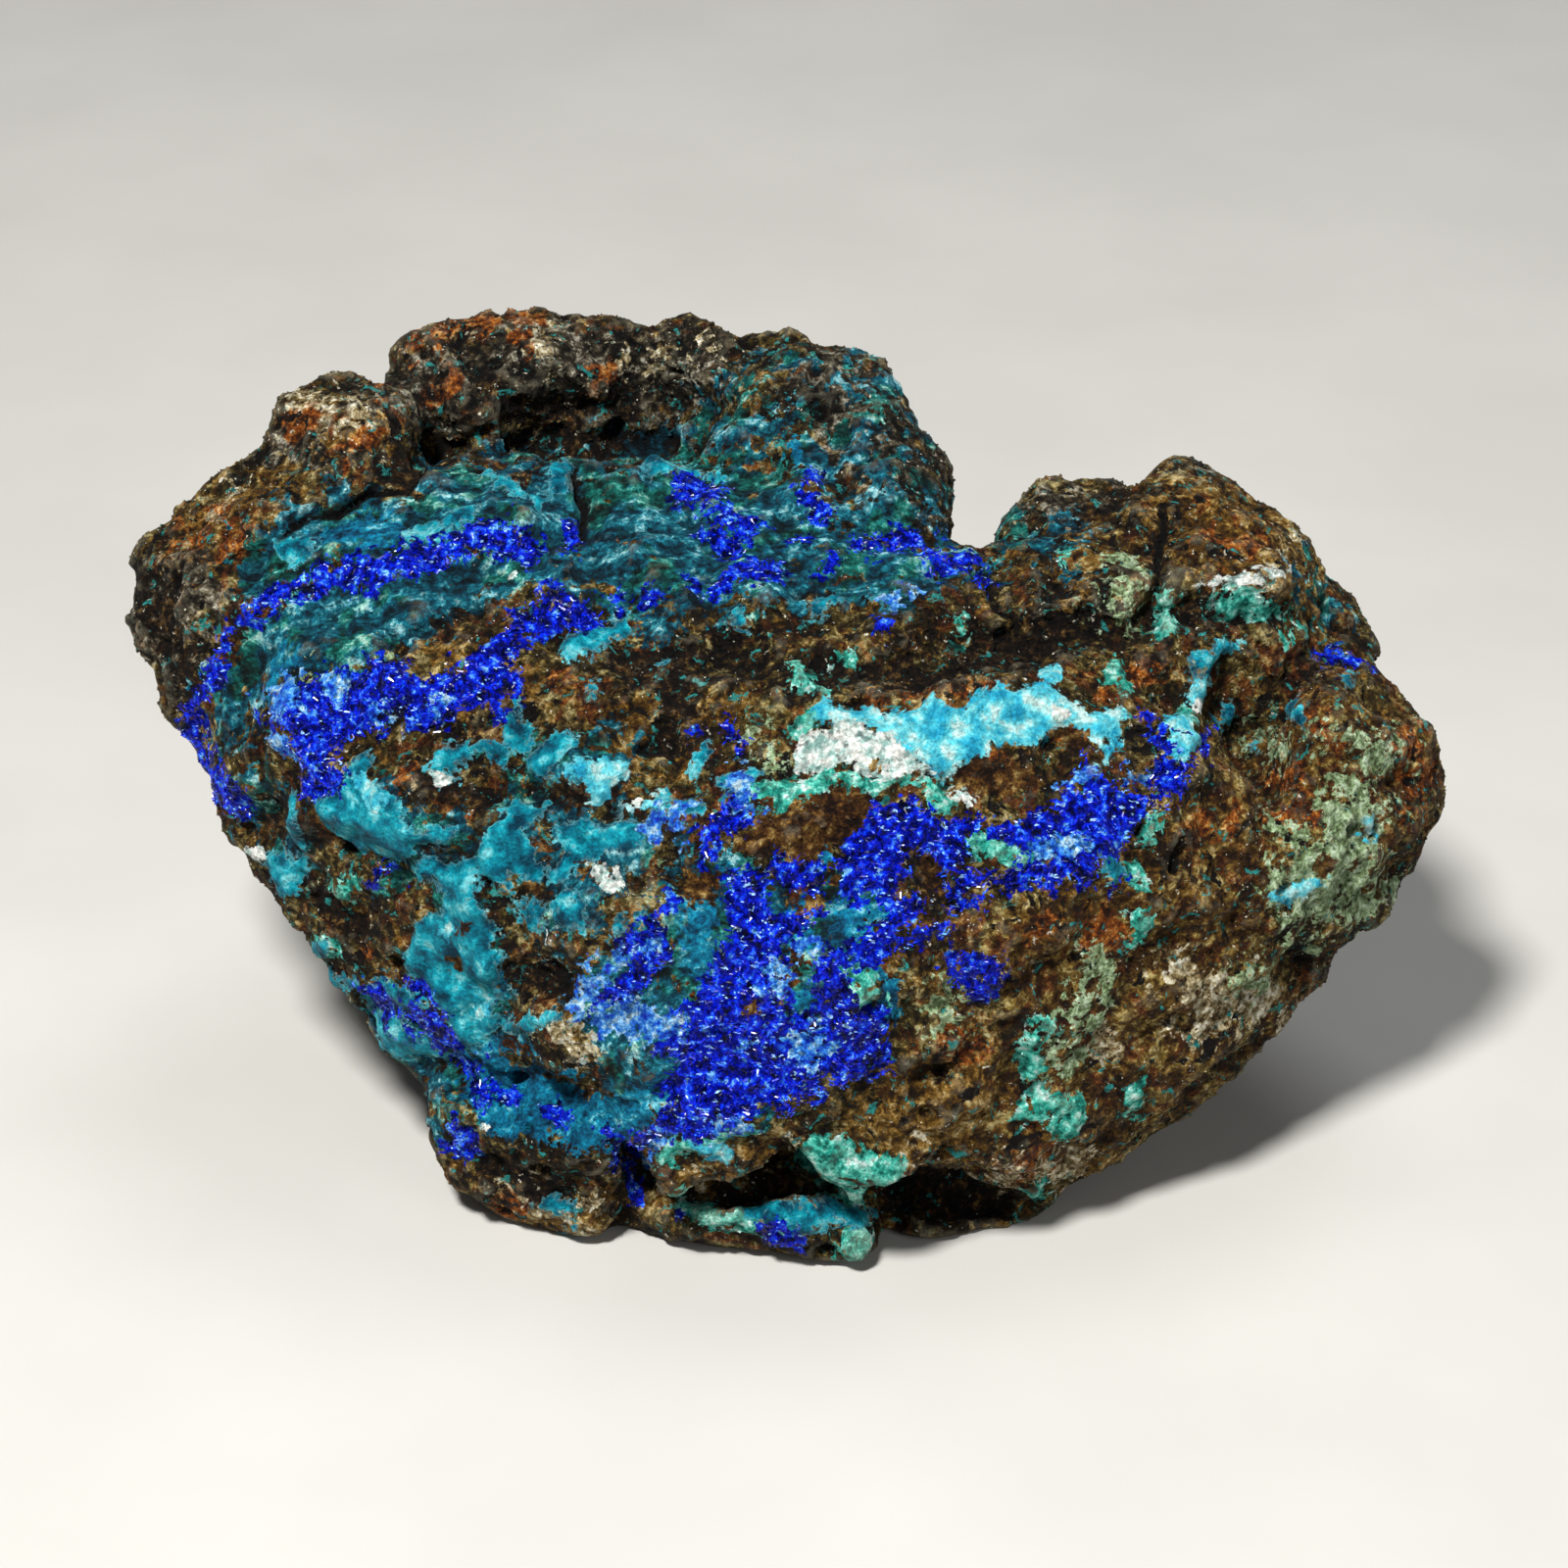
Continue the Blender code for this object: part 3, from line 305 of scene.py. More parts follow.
pocket = [                                    # small windows of rust and rock in the crusts
    [(6.8, 1.4, .45)], [(20.6, 3.9), (22.2, 4.1), (22.6, 3.4), (21.6, 2.6), (20.8, 3)],
    [(-24.3, -13.8, .6)],
    [(12, -.6), (13, .9), (14, 1.9), (15.6, 2.4), (17.6, 2.2), (19.4, 1.6), (19.6, .4), (18, -.4),
     (16, -.8), (14, -.9)],
    [(40.8, -6.2, .7), (40.8, -7, .4)], [(43.5, -8, .4)], [(42.9, -6, .3)], [(38.8, -10.8, .4)],
    [(45.5, -.5, .5)],
    [(42, 11.8, .8)], [(3.8, -7.4, .4)], [(2.4, -9, .4), (1.6, -9.6, .2)], [(-2.6, -17.2, .4)],
    [(-15, -6.7, .5)],
    [(11, -5.8, .7), (11.2, -7.6, .5)], [(-23.6, 3.8), (-22, 4.6), (-20.9, 3.8), (-21.6, 3.2), (-23, 3.2)],
    [(-5.6, -5.8), (-4.6, -6.6), (-5.4, -7.6), (-6, -8.4), (-7.2, -8.2), (-8, -7), (-7.4, -5.8),
     (-6.4, -5.6)],
    [(-3.6, -3.8), (-1.8, -2.6), (.2, -2.4), (2.4, -1), (4, -.4), (6.4, -.2), (7.4, -1.2), (6.4, -2),
     (4.6, -3.6),
     (3.6, -4.4), (2.8, -5.4), (1.4, -5.6), (0, -5), (-2, -5.4), (-3, -4.8)],
    [(-22, 1.4, .3)], [(-19.2, -7.8, .6)], [(-35.4, -2.4, .4), (-34, -3.8, .4)], [(-24.2, -11, .35)],
]
mint = [                                      # malachite
    [(-2.5, -.8, .9), (0, -.8, 1), (2, 0, .9), (4, .3, .6), (7, 0, .6), (9, .8, .7)],
    [(11, -.8, .9), (12.3, -1.8, .8)], [(15, -4.8, 1.4), (17, -5.2, 1.2)], [(24.8, 8, .8)],
    [(28.7, 13.7, .9)],
    [(28.7, 11.8, .7)], [(33, 13.8, .7), (35, 13.5, .7), (37, 13, .5)], [(21, 17.5, .6)], [(38.5, 11.3, 1)],
    [(26.5, -10.5, .9)], [(26.3, -7, .5)], [(28, -2.5, .4), (27.5, -4.5, .4)], [(19.3, -18, .7)],
    [(18.5, -20, .6), (18.5, -22, .5)],
    [(18.5, -24.5, .7), (20, -23.5, .8), (22, -24, .7), (20.5, -25.5, .8), (18.5, -24.5, .7)],
    [(26.5, -24, .7)], [(19, -30.5, .7)], [(2.5, -27.5, 1.3), (5, -28.5, 1.6), (8, -28.8, .9)],
    [(4, -29.5, 1), (5, -30.8, 1)], [(5.5, -34.3, 1.3)], [(-9, -28, .7), (-6, -27, .7), (-3, -26, .7)],
    [(-33, -7.8, .8)], [(-34.5, -12.3, .6)], [(1, 8.6, .5), (2.5, 7.5, .6)], [(5, 9.2, .5)],
    [(13.5, 11.3, .5)],
    [(1.2, 3.8, .8), (2.6, 5.6, .9)], [(29.8, 4.6, 1)], [(6, -15.3, 1.1)],
    [(-8, -31.5, .8), (-3, -32.8, .8)],
]
sage = [                                      # thin green stain on the brown flank
    [(43, 3), (44.2, 3.2), (45.8, 3.4), (45.6, 1.8), (45, .8), (45.2, -.8), (44.6, -2.4), (44.4, -4),
     (44.4, -6),
     (45.8, -6.8), (45, -8.4), (43.2, -10), (41.4, -10.4), (39.8, -10.2), (39.4, -12.2), (37.8, -11.6),
     (38.2, -9.4), (36.6, -8), (36, -6.8), (37.4, -6.8), (38, -5), (37, -3.4), (36.8, -2.4), (38, -4),
     (39.6, -4.8), (40.2, -2.8), (40, -1), (41, -1.2), (41.8, 0), (42, 1.4), (42.6, 1.8)],
    [(24, -14, 1), (21, -20, 1.2)], [(12, -17, 1.4)], [(36, 3, .9)], [(40.6, 3.6, .6)],
    [(-34, -7.6, 1.2), (-32, -8.4, .8)],
    [(-32, 12.5, 2.4), (-36, 11, 1.6)], [(-9.6, -6.8, 1)], [(-7, -11, 1)], [(34.8, -14.5, .8)],
    [(24.6, 13.6, 1)],
    [(25.4, 15.8, .9)], [(-2, 3.6, .7), (-1, 1.6, .5)],
]
quartz = [
    [(1.3, 3.1), (2.2, 3.9), (3.4, 4.2), (4.4, 4.7), (5.6, 4.6), (6.7, 4), (8.2, 3.2), (9.8, 2.2),
     (11.1, 1.1),
     (9.3, .7), (7.1, .7), (4.9, 1.2), (3.1, .9), (1.6, .7), (1.1, 1.8)],
    [(-14.4, -6.3, .35), (-12.6, -7.3, .6)], [(-17, -11.4, .35)], [(-10.9, -1, .35)],
    [(12.9, -.8, .4), (13.8, -1.6, .4)],
    [(21, 5.3, .5)],
    [(-20.5, 16, .1)], [(-36.6, 7.4, .3), (-37.2, 5.6, .4)], [(-26, .6, .5)], [(-7.4, -19, .3)],
    [(-6, -18.2, .4), (-5.2, -19.2, .3)], [(-16.2, -19.2, .1)], [(-15, -20.8, .1)], [(-14.4, -19, .1)],
    [(-39.6, -5, .4)],
    [(-22.4, -25.8, .2)], [(30.6, 5.8, .5)], [(31, 15.2, .25), (36, 15.8, .25), (37.6, 16, .2)],
]
pale = [                                      # tan and whitish weathered matrix
    [(-16.4, -18.6, 1.6), (-14.8, -20.2, 1.4)], [(31, -16.2, 2), (35, -16.5, 1.9)], [(29, -14, .8)],
    [(9, -27.5, .5)],
    [(-6, -29, .6)], [(.5, -26.8, .6)], [(37, 17.5, .6)],
    [(-36, 29, 1.2), (-32, 27, .8)], [(-42, 21, .8)], [(-17.8, 32.6, 1.1)], [(-9, 31.6, 1)],
    [(-5.5, 33, .6)],
    [(.5, 31.7, .7), (-1.6, 30.4, .5)], [(-30, 10, 1)],
    [(16, -30, 1.2), (22, -28, 1.2)], [(-20, -30.5, 1), (-15, -33, .8)], [(-33, 1, 1.2)], [(-28, 1, .8)],
    [(33, 15.3, .6), (36, 15.2, .5)], [(31, -18, 1.2)], [(24, -20, 1)], [(-12, 31.5, .8)],
]
ochre = [                                     # golden brown matrix
    [(12, -24.5, 4.4), (7, -26, 2.4)], [(29, 20, 2), (33, 19, 3), (37, 16.5, 1.8)],
    [(24, -28, 2), (20, -26, 1.6)],
    [(-20, -33, 1), (-14, -33, 1)], [(-7, -29.5, 1), (-1, -28.5, 1)], [(13, -18, 2), (11, -15, 1.2)],
    [(22, 16, 2), (20, 12, 1)], [(-34, 27, 1.6), (-31, 26, 1.4)], [(-43, 19.5, 1.4), (-38, 22.5, 1.2)],
    [(-27, 10.6, 1), (-18, 7, 1.4)], [(8, 7, .8), (15, 7.4, .8)], [(-12, 5, 1.6), (-4, 6, 1.4)],
    [(36, -15, 2)],
]
rust = [
    [(-27, 33, .8), (-23, 35, 1.3), (-20, 34.5, 1)], [(-24.5, 30.4, 1.2)], [(-15, 28.5, .9), (-13, 31, 1)],
    [(-45, 18.5, .7), (-41, 19.3, .7)], [(-46, 13.5, .5)], [(-34, 25.5, 1), (-32, 26.5, .6)],
    [(-28, 1, 1), (-29.5, -.5, .8)],
    [(-24.5, -2.5, .5)], [(-15.8, 8, .7)], [(-38.5, 1, .4)], [(-31, -13, .6), (-30, -14.2, .5)],
    [(-15, -6.7, .5)],
    [(32, 19, .6), (35, 18, .8)], [(40, 5, 1.6)], [(38, 1, 1.4)], [(38, -2.5, 1)],
    [(24, -11, 1.6)], [(6, 6.9, .5), (10, 7.1, .6), (15, 7.2, .5)], [(16, .9, 1.2)], [(21.5, 3.6, .8)],
    [(20, -11, 1.2)], [(32, -3, 1.4)], [(46, 3, 1.4), (47, -1, 1.2)], [(13, -20, 1)], [(18, -28, 1.4)],
    [(-20, -31.5, .8)], [(-30, 28.5, .9)], [(-37, 27, .7)], [(27, 8, .5)], [(24, 7.2, .4)],
]
# dark: partly iron oxide, partly painted shade in hollows and under ledges
dark = [                                      # deep brown to black iron oxide, mostly in hollows
    [(0, 7.5, .6), (4, 8.6, 1.3), (10, 8.8, 1.4), (16, 10, 1.6), (22, 12, 1.4), (27, 11.5, 1)],
    [(-28.5, 11.2, 1.2), (-23, 13.3, .7)], [(-21, 24.8, 1), (-15, 25.5, 1.6), (-9, 25.6, 1.4)],
    [(-20, 28, 1.4), (-12, 27.5, 1.6)], [(-20.5, -14.6, 1.5), (-16.5, -15, 1.4)], [(-24.3, -13.8, .6)],
    [(-26, .5, 1.2), (-21, -.5, 1.4), (-16, -1, .8)], [(-24, 3.6, .9)], [(-9, 3, 1.4), (-8, 7, 1.4)],
    [(9, -30.8, 1.4), (16, -31.6, 1.6)], [(-4, -30.8, .6), (3, -30.4, .5)],
    [(28.3, 20, .35), (28.2, 15.5, .3)],
    [(24, 15.8, .25), (24.2, 13.2, .25)], [(15, 16, .35), (17.3, 12.2, .4)], [(30, 13, .8), (38, 12.8, .6)],
    [(29.5, -5.5, .8)], [(11.5, -21.5, .8)], [(39, -13.3, .5)], [(-39, -3, 1.2), (-37, 0, 1)],
    [(40.5, -6.7, .8)], [(43.3, -8.2, .5)], [(38.8, -10.8, .4)], [(45.5, -.5, .5)], [(6.8, 1.4, .6)],
    [(11, -5.5, .9), (11, -7.5, .8)], [(-35, -9, 1.2), (-32, -10.5, 1)], [(39.5, 7.6, .4), (40.6, 8, .3)],
    [(-47, 15, .8), (-47, 12, 1.4), (-45.4, 9, .9)], [(-22, -29, 1.4), (-16, -29.6, 1.4)],
    [(-24, 33, 1), (-22, 29.5, 1)],
    [(-2, 10, 1.6), (-12, 9, 1.4)], [(-7.5, -6.8, 1.2)], [(-13, -1.6, .7)], [(20, 15, 1.4)],
    [(-12.3, -31, .4), (-12.6, -34, .5)], [(18, 1.8, .5)], [(-30, 22.6, .5), (-25, 25.2, .6)],
]
crack = [                                     # narrow open clefts
    [(28.4, 20.5, .1), (28.3, 19, .2), (27.9, 17.4, .2), (28, 14.6, .1)],
    [(24.4, 15.4, .1), (24, 13.4, .2), (24.3, 11.6, .1)],
    [(15.2, 15.2, .1), (16, 13.4, .2), (17.4, 11.8, .1)], [(-15.6, 23.4, .1), (-14.9, 21, .25),
     (-15.2, 18.6, .1)],
    [(-38, 18.2, 0), (-35.8, 20, .1), (-33.2, 20.5, .15), (-31, 21.9, .15), (-28.6, 22.3, .2),
     (-26.4, 23.8, 0)],
    [(29.8, -4.2, .1), (29.2, -6.6, .2)],
]
grey = [                                      # grey country rock of the crest and the left end
    [(-49, 14, 2.5), (-46, 12, 3), (-44, 16, 2.2)], [(-36, 26, 3), (-31, 28, 3)],
    [(-26, 30, 3.5), (-16, 32, 4), (-8, 31, 4)],
    [(1, 30, 3), (6, 28, 5), (9, 23, 4)], [(3, 21, 1.4), (12, 20, 2)], [(18, 20, 1.6), (24, 21, 1.2)],
    [(-36, 12, 2)], [(-26, 22, 1.5)],
    [(-45, 8, 1.6), (-47, 10, 2)], [(30, 23.5, 1)],
]
warm = [                                      # reddish brown right flank
    [(20, -14, 5), (30, -10, 6), (36, -2, 5), (40, 4, 4), (46, 1, 4)],
    [(18, -24, 5), (26, -22, 5), (32, -16, 4)],
    [(34, 18, 4), (38, 14, 3), (30, 21, 3)], [(24, 18, 3)], [(-2, -2.8, 1.6), (5, -1.4, 1.2)],
]
deposits = {
    "azurite": azurite, "pocket": pocket, "smalt": smalt, "aqua": aqua, "turquoise": turquoise, "deep": deep,
    "teal": teal, "bare": bare, "mint": mint, "sage": sage, "quartz": quartz, "pale": pale, "ochre": ochre,
    "rust": rust, "dark": dark, "crack": crack, "grey": grey, "warm": warm,
}
farInside = 4.0         # millimetres, how deep into a deposit is still told apart
farOutside = -9.0

# What the photograph doesn't show: two copper seams run on through the lump, each a sloping level
# (height, slope along x, slope along y, waviness, wave length and a shift), all in millimetres
seamLevels = {
    "high": (31, -0.25, 0.3, 2.4, 12, 9.0),
    "low": (14, 0.35, 0.0, 2.0, 10, 17.0),
}
hiddenSeams = {          # which seam, how far above it, half width
    "azurite": [("high", 0.0, 0.9)],
    "smalt": [("high", 1.6, 0.5)],
    "aqua": [("low", -0.3, 0.2)],
    "turquoise": [("low", 0.0, 1.3)],
    "teal": [("high", -1.8, 2.6), ("low", 1.6, 1.6)],
    "deep": [("high", -2.6, 0.4)],
}
hiddenSpots = {          # size, shift, octaves (0 for round spots), how common (less is more) and steepness
    "azurite": (14, 23.0, 3, 0.62, 6.6),
    "turquoise": (5, 31.0, 3, 0.75, 3),
    "sage": (14, 23.0, 3, 0.28, 4),
    "pocket": (4, 61.0, 0, 0.55, 4),
    "bare": (5, 3.0, 0, 0.2, 4),
    "mint": (6, 5.0, 0, 0.52, 3),
    "quartz": (3, 12.0, 0, 0.72, 4),
    "pale": (7, 19.0, 0, 0.3, 4),
    "ochre": (9, 71.0, 0, 0.2, 4),
    "rust": (8, 27.0, 0, 0.25, 4),
    "dark": (6, 35.0, 0, 0.25, 4),
    "grey": (22, 45.0, 0, 0.0, 5),
    "warm": (20, 55.0, 0, -0.2, 6),
}
brightOnes = ("azurite", "smalt", "aqua", "turquoise", "mint", "quartz")   # these keep off the face's outline


def depthInside(points, shapes):
    # how far inside the nearest vein or patch each (right, up) point lies; negative outside
    best = np.full(len(points), farOutside)
    for shape in shapes:
        closed = len(shape[0]) == 2
        corners = [(*corner, 0.0)[:3] for corner in shape]
        ends = corners[1:] + corners[:1] if closed else (corners[1:] or corners)
        low = np.min([corner[:2] for corner in corners], axis=0) + farOutside
        high = np.max([corner[:2] for corner in corners], axis=0) - farOutside
        close = np.flatnonzero(np.all((points > low) & (points < high), axis=1))
        spots = points[close]
        depth = np.full(len(spots), farOutside)
        inside = np.zeros(len(spots), bool)
        for start, end in zip(corners, ends):
            a, b = np.array(start[:2]), np.array(end[:2])
            along = b - a
            share = np.clip((spots - a) @ along / max(along @ along, 1e-9), 0, 1)
            gap = np.linalg.norm(spots - (a + share[:, None] * along), axis=1)
            depth = np.maximum(depth, start[2] + share * (end[2] - start[2]) - gap)
            if closed and a[1] != b[1]:
                crossing = a[0] + (spots[:, 1] - a[1]) / (b[1] - a[1]) * along[0]
                inside ^= ((a[1] > spots[:, 1]) != (b[1] > spots[:, 1])) & (spots[:, 0] < crossing)
        if closed:
            depth = np.where(inside, -depth, depth)
        best[close] = np.maximum(best[close], depth)
    return np.minimum(best, farInside)


# Small helpers for meshes
def vertexArray(mesh, field):
    values = np.empty(len(mesh.vertices) * 3)
    mesh.vertices.foreach_get(field, values)
    return values.reshape(-1, 3)


def applyModifiers(obj):
    graph = bpy.context.evaluated_depsgraph_get()
    made = bpy.data.meshes.new_from_object(obj.evaluated_get(graph))
    obj.modifiers.clear()
    obj.data = made


def smoothStep(values, low, high):
    share = np.clip((values - low) / (high - low), 0, 1)
    return share * share * (3 - 2 * share)


def noiseField(points, size, octaves=0, shift=0.0):
    # noise of about -1 to 1 with lumps of the given size in millimetres, plain or fractal
    scaled = points / size + shift
    if octaves:
        return np.array([noise.fractal(Vector(p), 0.8, 2.1, octaves) for p in scaled])
    return np.array([noise.noise(Vector(p)) for p in scaled])


def cellField(points, size, shift=0.0):
    # distance to the nearest cell centre (in cells), and a random value of that cell
    scaled = points / size + shift
    near = np.empty(len(scaled))
    pick = np.empty(len(scaled))
    for i, p in enumerate(scaled):
        distances, centres = noise.voronoi(Vector(p))
        near[i] = distances[0]
        pick[i] = noise.cell(centres[0] * 7.31)
    return near, pick


# The rock's skin: the solid again, with the fine relief that the solid leaves out
skinSettings = {
    "voxel": 0.8,           # grain of the skin, millimetres; half that on the face
    "fineFrom": 0.02,       # how far a facet faces the viewer to get the finer grain
    "softening": 5,         # smoothing rounds on the solid's facets
    "wander": 0.7, "wanderSize": 3.0,       # how far the deposits' outlines stray, millimetres
    "coarse": 0.8, "coarseSize": 4.5,       # heights and sizes of the relief, millimetres
    "rock": 0.27, "rockSize": 2.2,
    "rockRidges": (0.9, 2.2, 3, 0.9, 1.8),  # falloff, spacing, octaves, offset and gain
    "rockLevel": 1.1,                       # the middle height of such ridges
    "grain": 0.12, "grainSize": 0.8,
    "pitDepth": 1.1, "pitSize": 2.6, "pitShare": 0.4,
    "calm": 0.6,            # how much smoother the brown flank is
    "crust": 0.34,          # thickness of the turquoise and green crusts
    "kidney": 0.32, "kidneySize": 1.9,      # their rounded humps
    "druse": 0.16,          # height of the bed that the azurite grows on
    "hollow": 0.7,          # depth of the dark hollows
    "cleft": 0.91,          # depth of the clefts
    "flatRim": 1.5,         # how far above the underside the relief is at its full height
    # the next two find hollows and humps, on which the ore paints shade and paler highlight
    "shadeNear": 4,         # smoothing rounds that tell small hollows from humps
    "shadeFar": 31,         # and the same for large ones
}


def growSkin(settings):
    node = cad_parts["specimen"]
    skin = bpy.data.objects.new("rockSkin", node.data.copy())
    bpy.context.scene.collection.objects.link(skin)
    merged = bmesh.new()
    merged.from_mesh(skin.data)
    bmesh.ops.remove_doubles(merged, verts=merged.verts, dist=1e-6)
    merged.to_mesh(skin.data)
    merged.free()
    remesh = skin.modifiers.new("Even grain", "REMESH")
    remesh.mode = "VOXEL"
    remesh.voxel_size = settings["voxel"] * mm
    smooth = skin.modifiers.new("Soften facets", "SMOOTH")
    smooth.iterations = settings["softening"]
    applyModifiers(skin)

    fine = bmesh.new()
    fine.from_mesh(skin.data)
    ahead = Vector(toward)
    shown = [face for face in fine.faces if face.normal.dot(ahead) > settings["fineFrom"]]
    edges = {edge for face in shown for edge in face.edges}
    bmesh.ops.subdivide_edges(fine, edges=list(edges), cuts=1, use_grid_fill=True)
    bmesh.ops.triangulate(fine, faces=[face for face in fine.faces if len(face.verts) > 4])
    fine.to_mesh(skin.data)
    fine.free()
    print("skin has", len(skin.data.polygons), "faces")
    return skin


def hiddenDepths(places):
    # the depth inside each deposit where the photograph doesn't reach
    x, y, z = places.T
    above = {}
    for seam, (height, alongX, alongY, waves, size, shift) in seamLevels.items():
        above[seam] = z - height - alongX * x - alongY * y + waves * noiseField(places, size, 3, shift)
    hidden = {name: np.full(len(places), farOutside) for name in deposits}
    for name, (size, shift, octaves, common, steepness) in hiddenSpots.items():
        hidden[name] = steepness * (noiseField(places, size, octaves, shift) - common)
    for name, bands in hiddenSeams.items():
        for seam, rise, width in bands:
            hidden[name] = np.maximum(hidden[name], width - np.abs(above[seam] - rise))
    return hidden


def depositsOn(points, normals, settings):
    # the depth inside every deposit at each vertex: drawn on the face, worked out behind it
    facing = normals @ toward              # 1 towards the viewer, 0 on the outline, -1 behind
    front = smoothStep(facing, -0.4, -0.12)
    rim = farInside * smoothStep(facing, -0.75, -0.35)
    places = points / mm
    hidden = hiddenDepths(places)
    seen = asSeen(points)[:, :2]           # clefts are drawn sharp, all else strays a little
    strays = [noiseField(places, settings["wanderSize"], 3, shift) for shift in (0.0, 40.0)]
    strayed = seen + settings["wander"] * np.column_stack(strays)
    found = {}
    for name, shapes in deposits.items():
        drawn = depthInside(seen if name == "crack" else strayed, shapes)
        behind = np.clip(hidden[name] - rim * (name in brightOnes), farOutside, farInside)
        found[name] = front * drawn + (1 - front) * behind
    print("deposits placed on", len(points), "points")
    return found


def evenedOut(mesh, points, rounds, pull=0.6):
    # every point moved again and again, as far as pull says, towards the middle of its neighbours
    ends = np.empty(len(mesh.edges) * 2, np.int32)
    mesh.edges.foreach_get("vertices", ends)
    first, second = ends[::2], ends[1::2]
    count = np.bincount(first, minlength=len(points)) + np.bincount(second, minlength=len(points))
    for _ in range(rounds):
        total = np.empty_like(points)
        for axis in range(3):
            total[:, axis] = (np.bincount(first, points[second, axis], len(points))
                              + np.bincount(second, points[first, axis], len(points)))
        points = (1 - pull) * points + pull * total / count[:, None]
    return points


def reliefOn(places, inside, settings):
    # how far each point of the skin stands out, in millimetres; a deposit's relief fades in between
    # two depths inside its outline
    crust = np.maximum.reduce([smoothStep(inside[name], -0.3, 0.5) for name in ("turquoise", "aqua", "mint")])
    crust = np.maximum(crust, 0.8 * smoothStep(inside["quartz"], -0.3, 0.5))
    druse = smoothStep(inside["azurite"], -0.3, 0.4)
    soaked = smoothStep(inside["teal"], -0.5, 1.5) * 0.6
    bare = 1 - np.maximum(np.maximum(crust, druse * 0.6), soaked)
    calm = 1 - settings["calm"] * smoothStep(inside["warm"], -1.0, 2.0)

    height = settings["coarse"] * noiseField(places, settings["coarseSize"], 3)
    rock = np.array([noise.ridged_multi_fractal(Vector(p), *settings["rockRidges"])
                     for p in places / settings["rockSize"]])
    height += settings["rock"] * (rock - settings["rockLevel"]) * (0.3 + 0.7 * bare) * calm
    height += settings["grain"] * noiseField(places, settings["grainSize"], 2, 3.0) * (0.45 + 0.75 * bare)
    near, pick = cellField(places, settings["pitSize"])
    pits = smoothStep(0.42 - near, 0, 0.3) * (pick > 1 - settings["pitShare"])
    height -= settings["pitDepth"] * pits * bare * calm
    near, pick = cellField(places, settings["kidneySize"], 5.0)
    height += crust * (settings["crust"] + settings["kidney"] * (0.55 - near) * (0.5 + 0.5 * pick))
    height += druse * settings["druse"]
    height -= np.maximum(settings["hollow"] * smoothStep(inside["dark"], -0.5, 1.0),
                         settings["cleft"] * smoothStep(inside["crack"], -0.3, 0.2))
    print("relief from", round(float(height.min()), 2), "to", round(float(height.max()), 2), "mm")
    return height


def carveSkin(skin, settings):
    mesh = skin.data
    points, normals = vertexArray(mesh, "co"), vertexArray(mesh, "normal")
    inside = depositsOn(points, normals, settings)
    height = reliefOn(points / mm, inside, settings)
    height *= smoothStep(points[:, 2] / mm, 0.0, settings["flatRim"])      # the underside stays flat
    moved = np.clip(points + normals * height[:, None] * mm, *np.array(cadBox))
    mesh.vertices.foreach_set("co", moved.ravel())
    mesh.update()
    normals = vertexArray(mesh, "normal")
    # how far each point sinks into a hollow or stands on a hump, small and large: the ore's painted shade and
    # highlight follow these
    for name, rounds in (("near", settings["shadeNear"]), ("far", settings["shadeFar"])):
        level = evenedOut(mesh, moved, rounds)
        inside[name] = np.sum((moved - level) * normals, axis=1) / mm
    inside["tint"] = np.full(len(moved), 0.5)
    for name, values in inside.items():
        layer = mesh.attributes.new(name, "FLOAT", "POINT")
        layer.data.foreach_set("value", values.astype(np.float32))
    mesh.shade_smooth()
    return inside


# Loose bits that stand on the skin: one template set thousands of times
druseSettings = {                # azurite grows as a druse of thin blades
    "perSquareMm": 11.0,
    "most": 16000,
    "length": (0.2, 0.6),        # millimetres
    "width": 0.32,               # of the length
    "thickness": 0.2,            # of the length
    "tip": (1, 0.45, 0.8),       # its far end against its foot: place, width and thickness
    "sunk": 0.6,                 # how much of its thickness lies below the skin
    "upright": (0.0, 0.35),      # how far it leans out of the skin
    "jitter": 0.0,               # how far its corners stray, of its size
    "parting": 1,                # millimetres above the view's middle, where the terrace begins
}
gritSettings = {                 # angular grains that the rock breaks into
    "perSquareMm": 3.0,
    "most": 16000,
    "length": (0.12, 0.4),
    "width": 0.8,
    "thickness": 0.6,
    "tip": (1, 0.7, 0.75),
    "sunk": 0.7,
    "upright": (0.0, 1.0),
    "jitter": 0.2,
    "keptOff": 0.75,             # how much of it the copper wash keeps off
    "lowest": 2,                 # millimetres above the underside
    "behind": 0.15,              # how thickly it lies behind the outline, against the face
}


def makeBit(tip):
    # a block of length 1 along x with a narrower tip, as arrays of corners and triangles
    bit = bmesh.new()
    bmesh.ops.create_cube(bit, size=1.0)
    bmesh.ops.scale(bit, vec=tip, verts=[vert for vert in bit.verts if vert.co.x > 0])
    bmesh.ops.triangulate(bit, faces=bit.faces)
    bit.verts.ensure_lookup_table()
    corners = np.array([vert.co[:] for vert in bit.verts])
    faces = np.array([[vert.index for vert in face.verts] for face in bit.faces])
    bit.free()
    return corners, faces


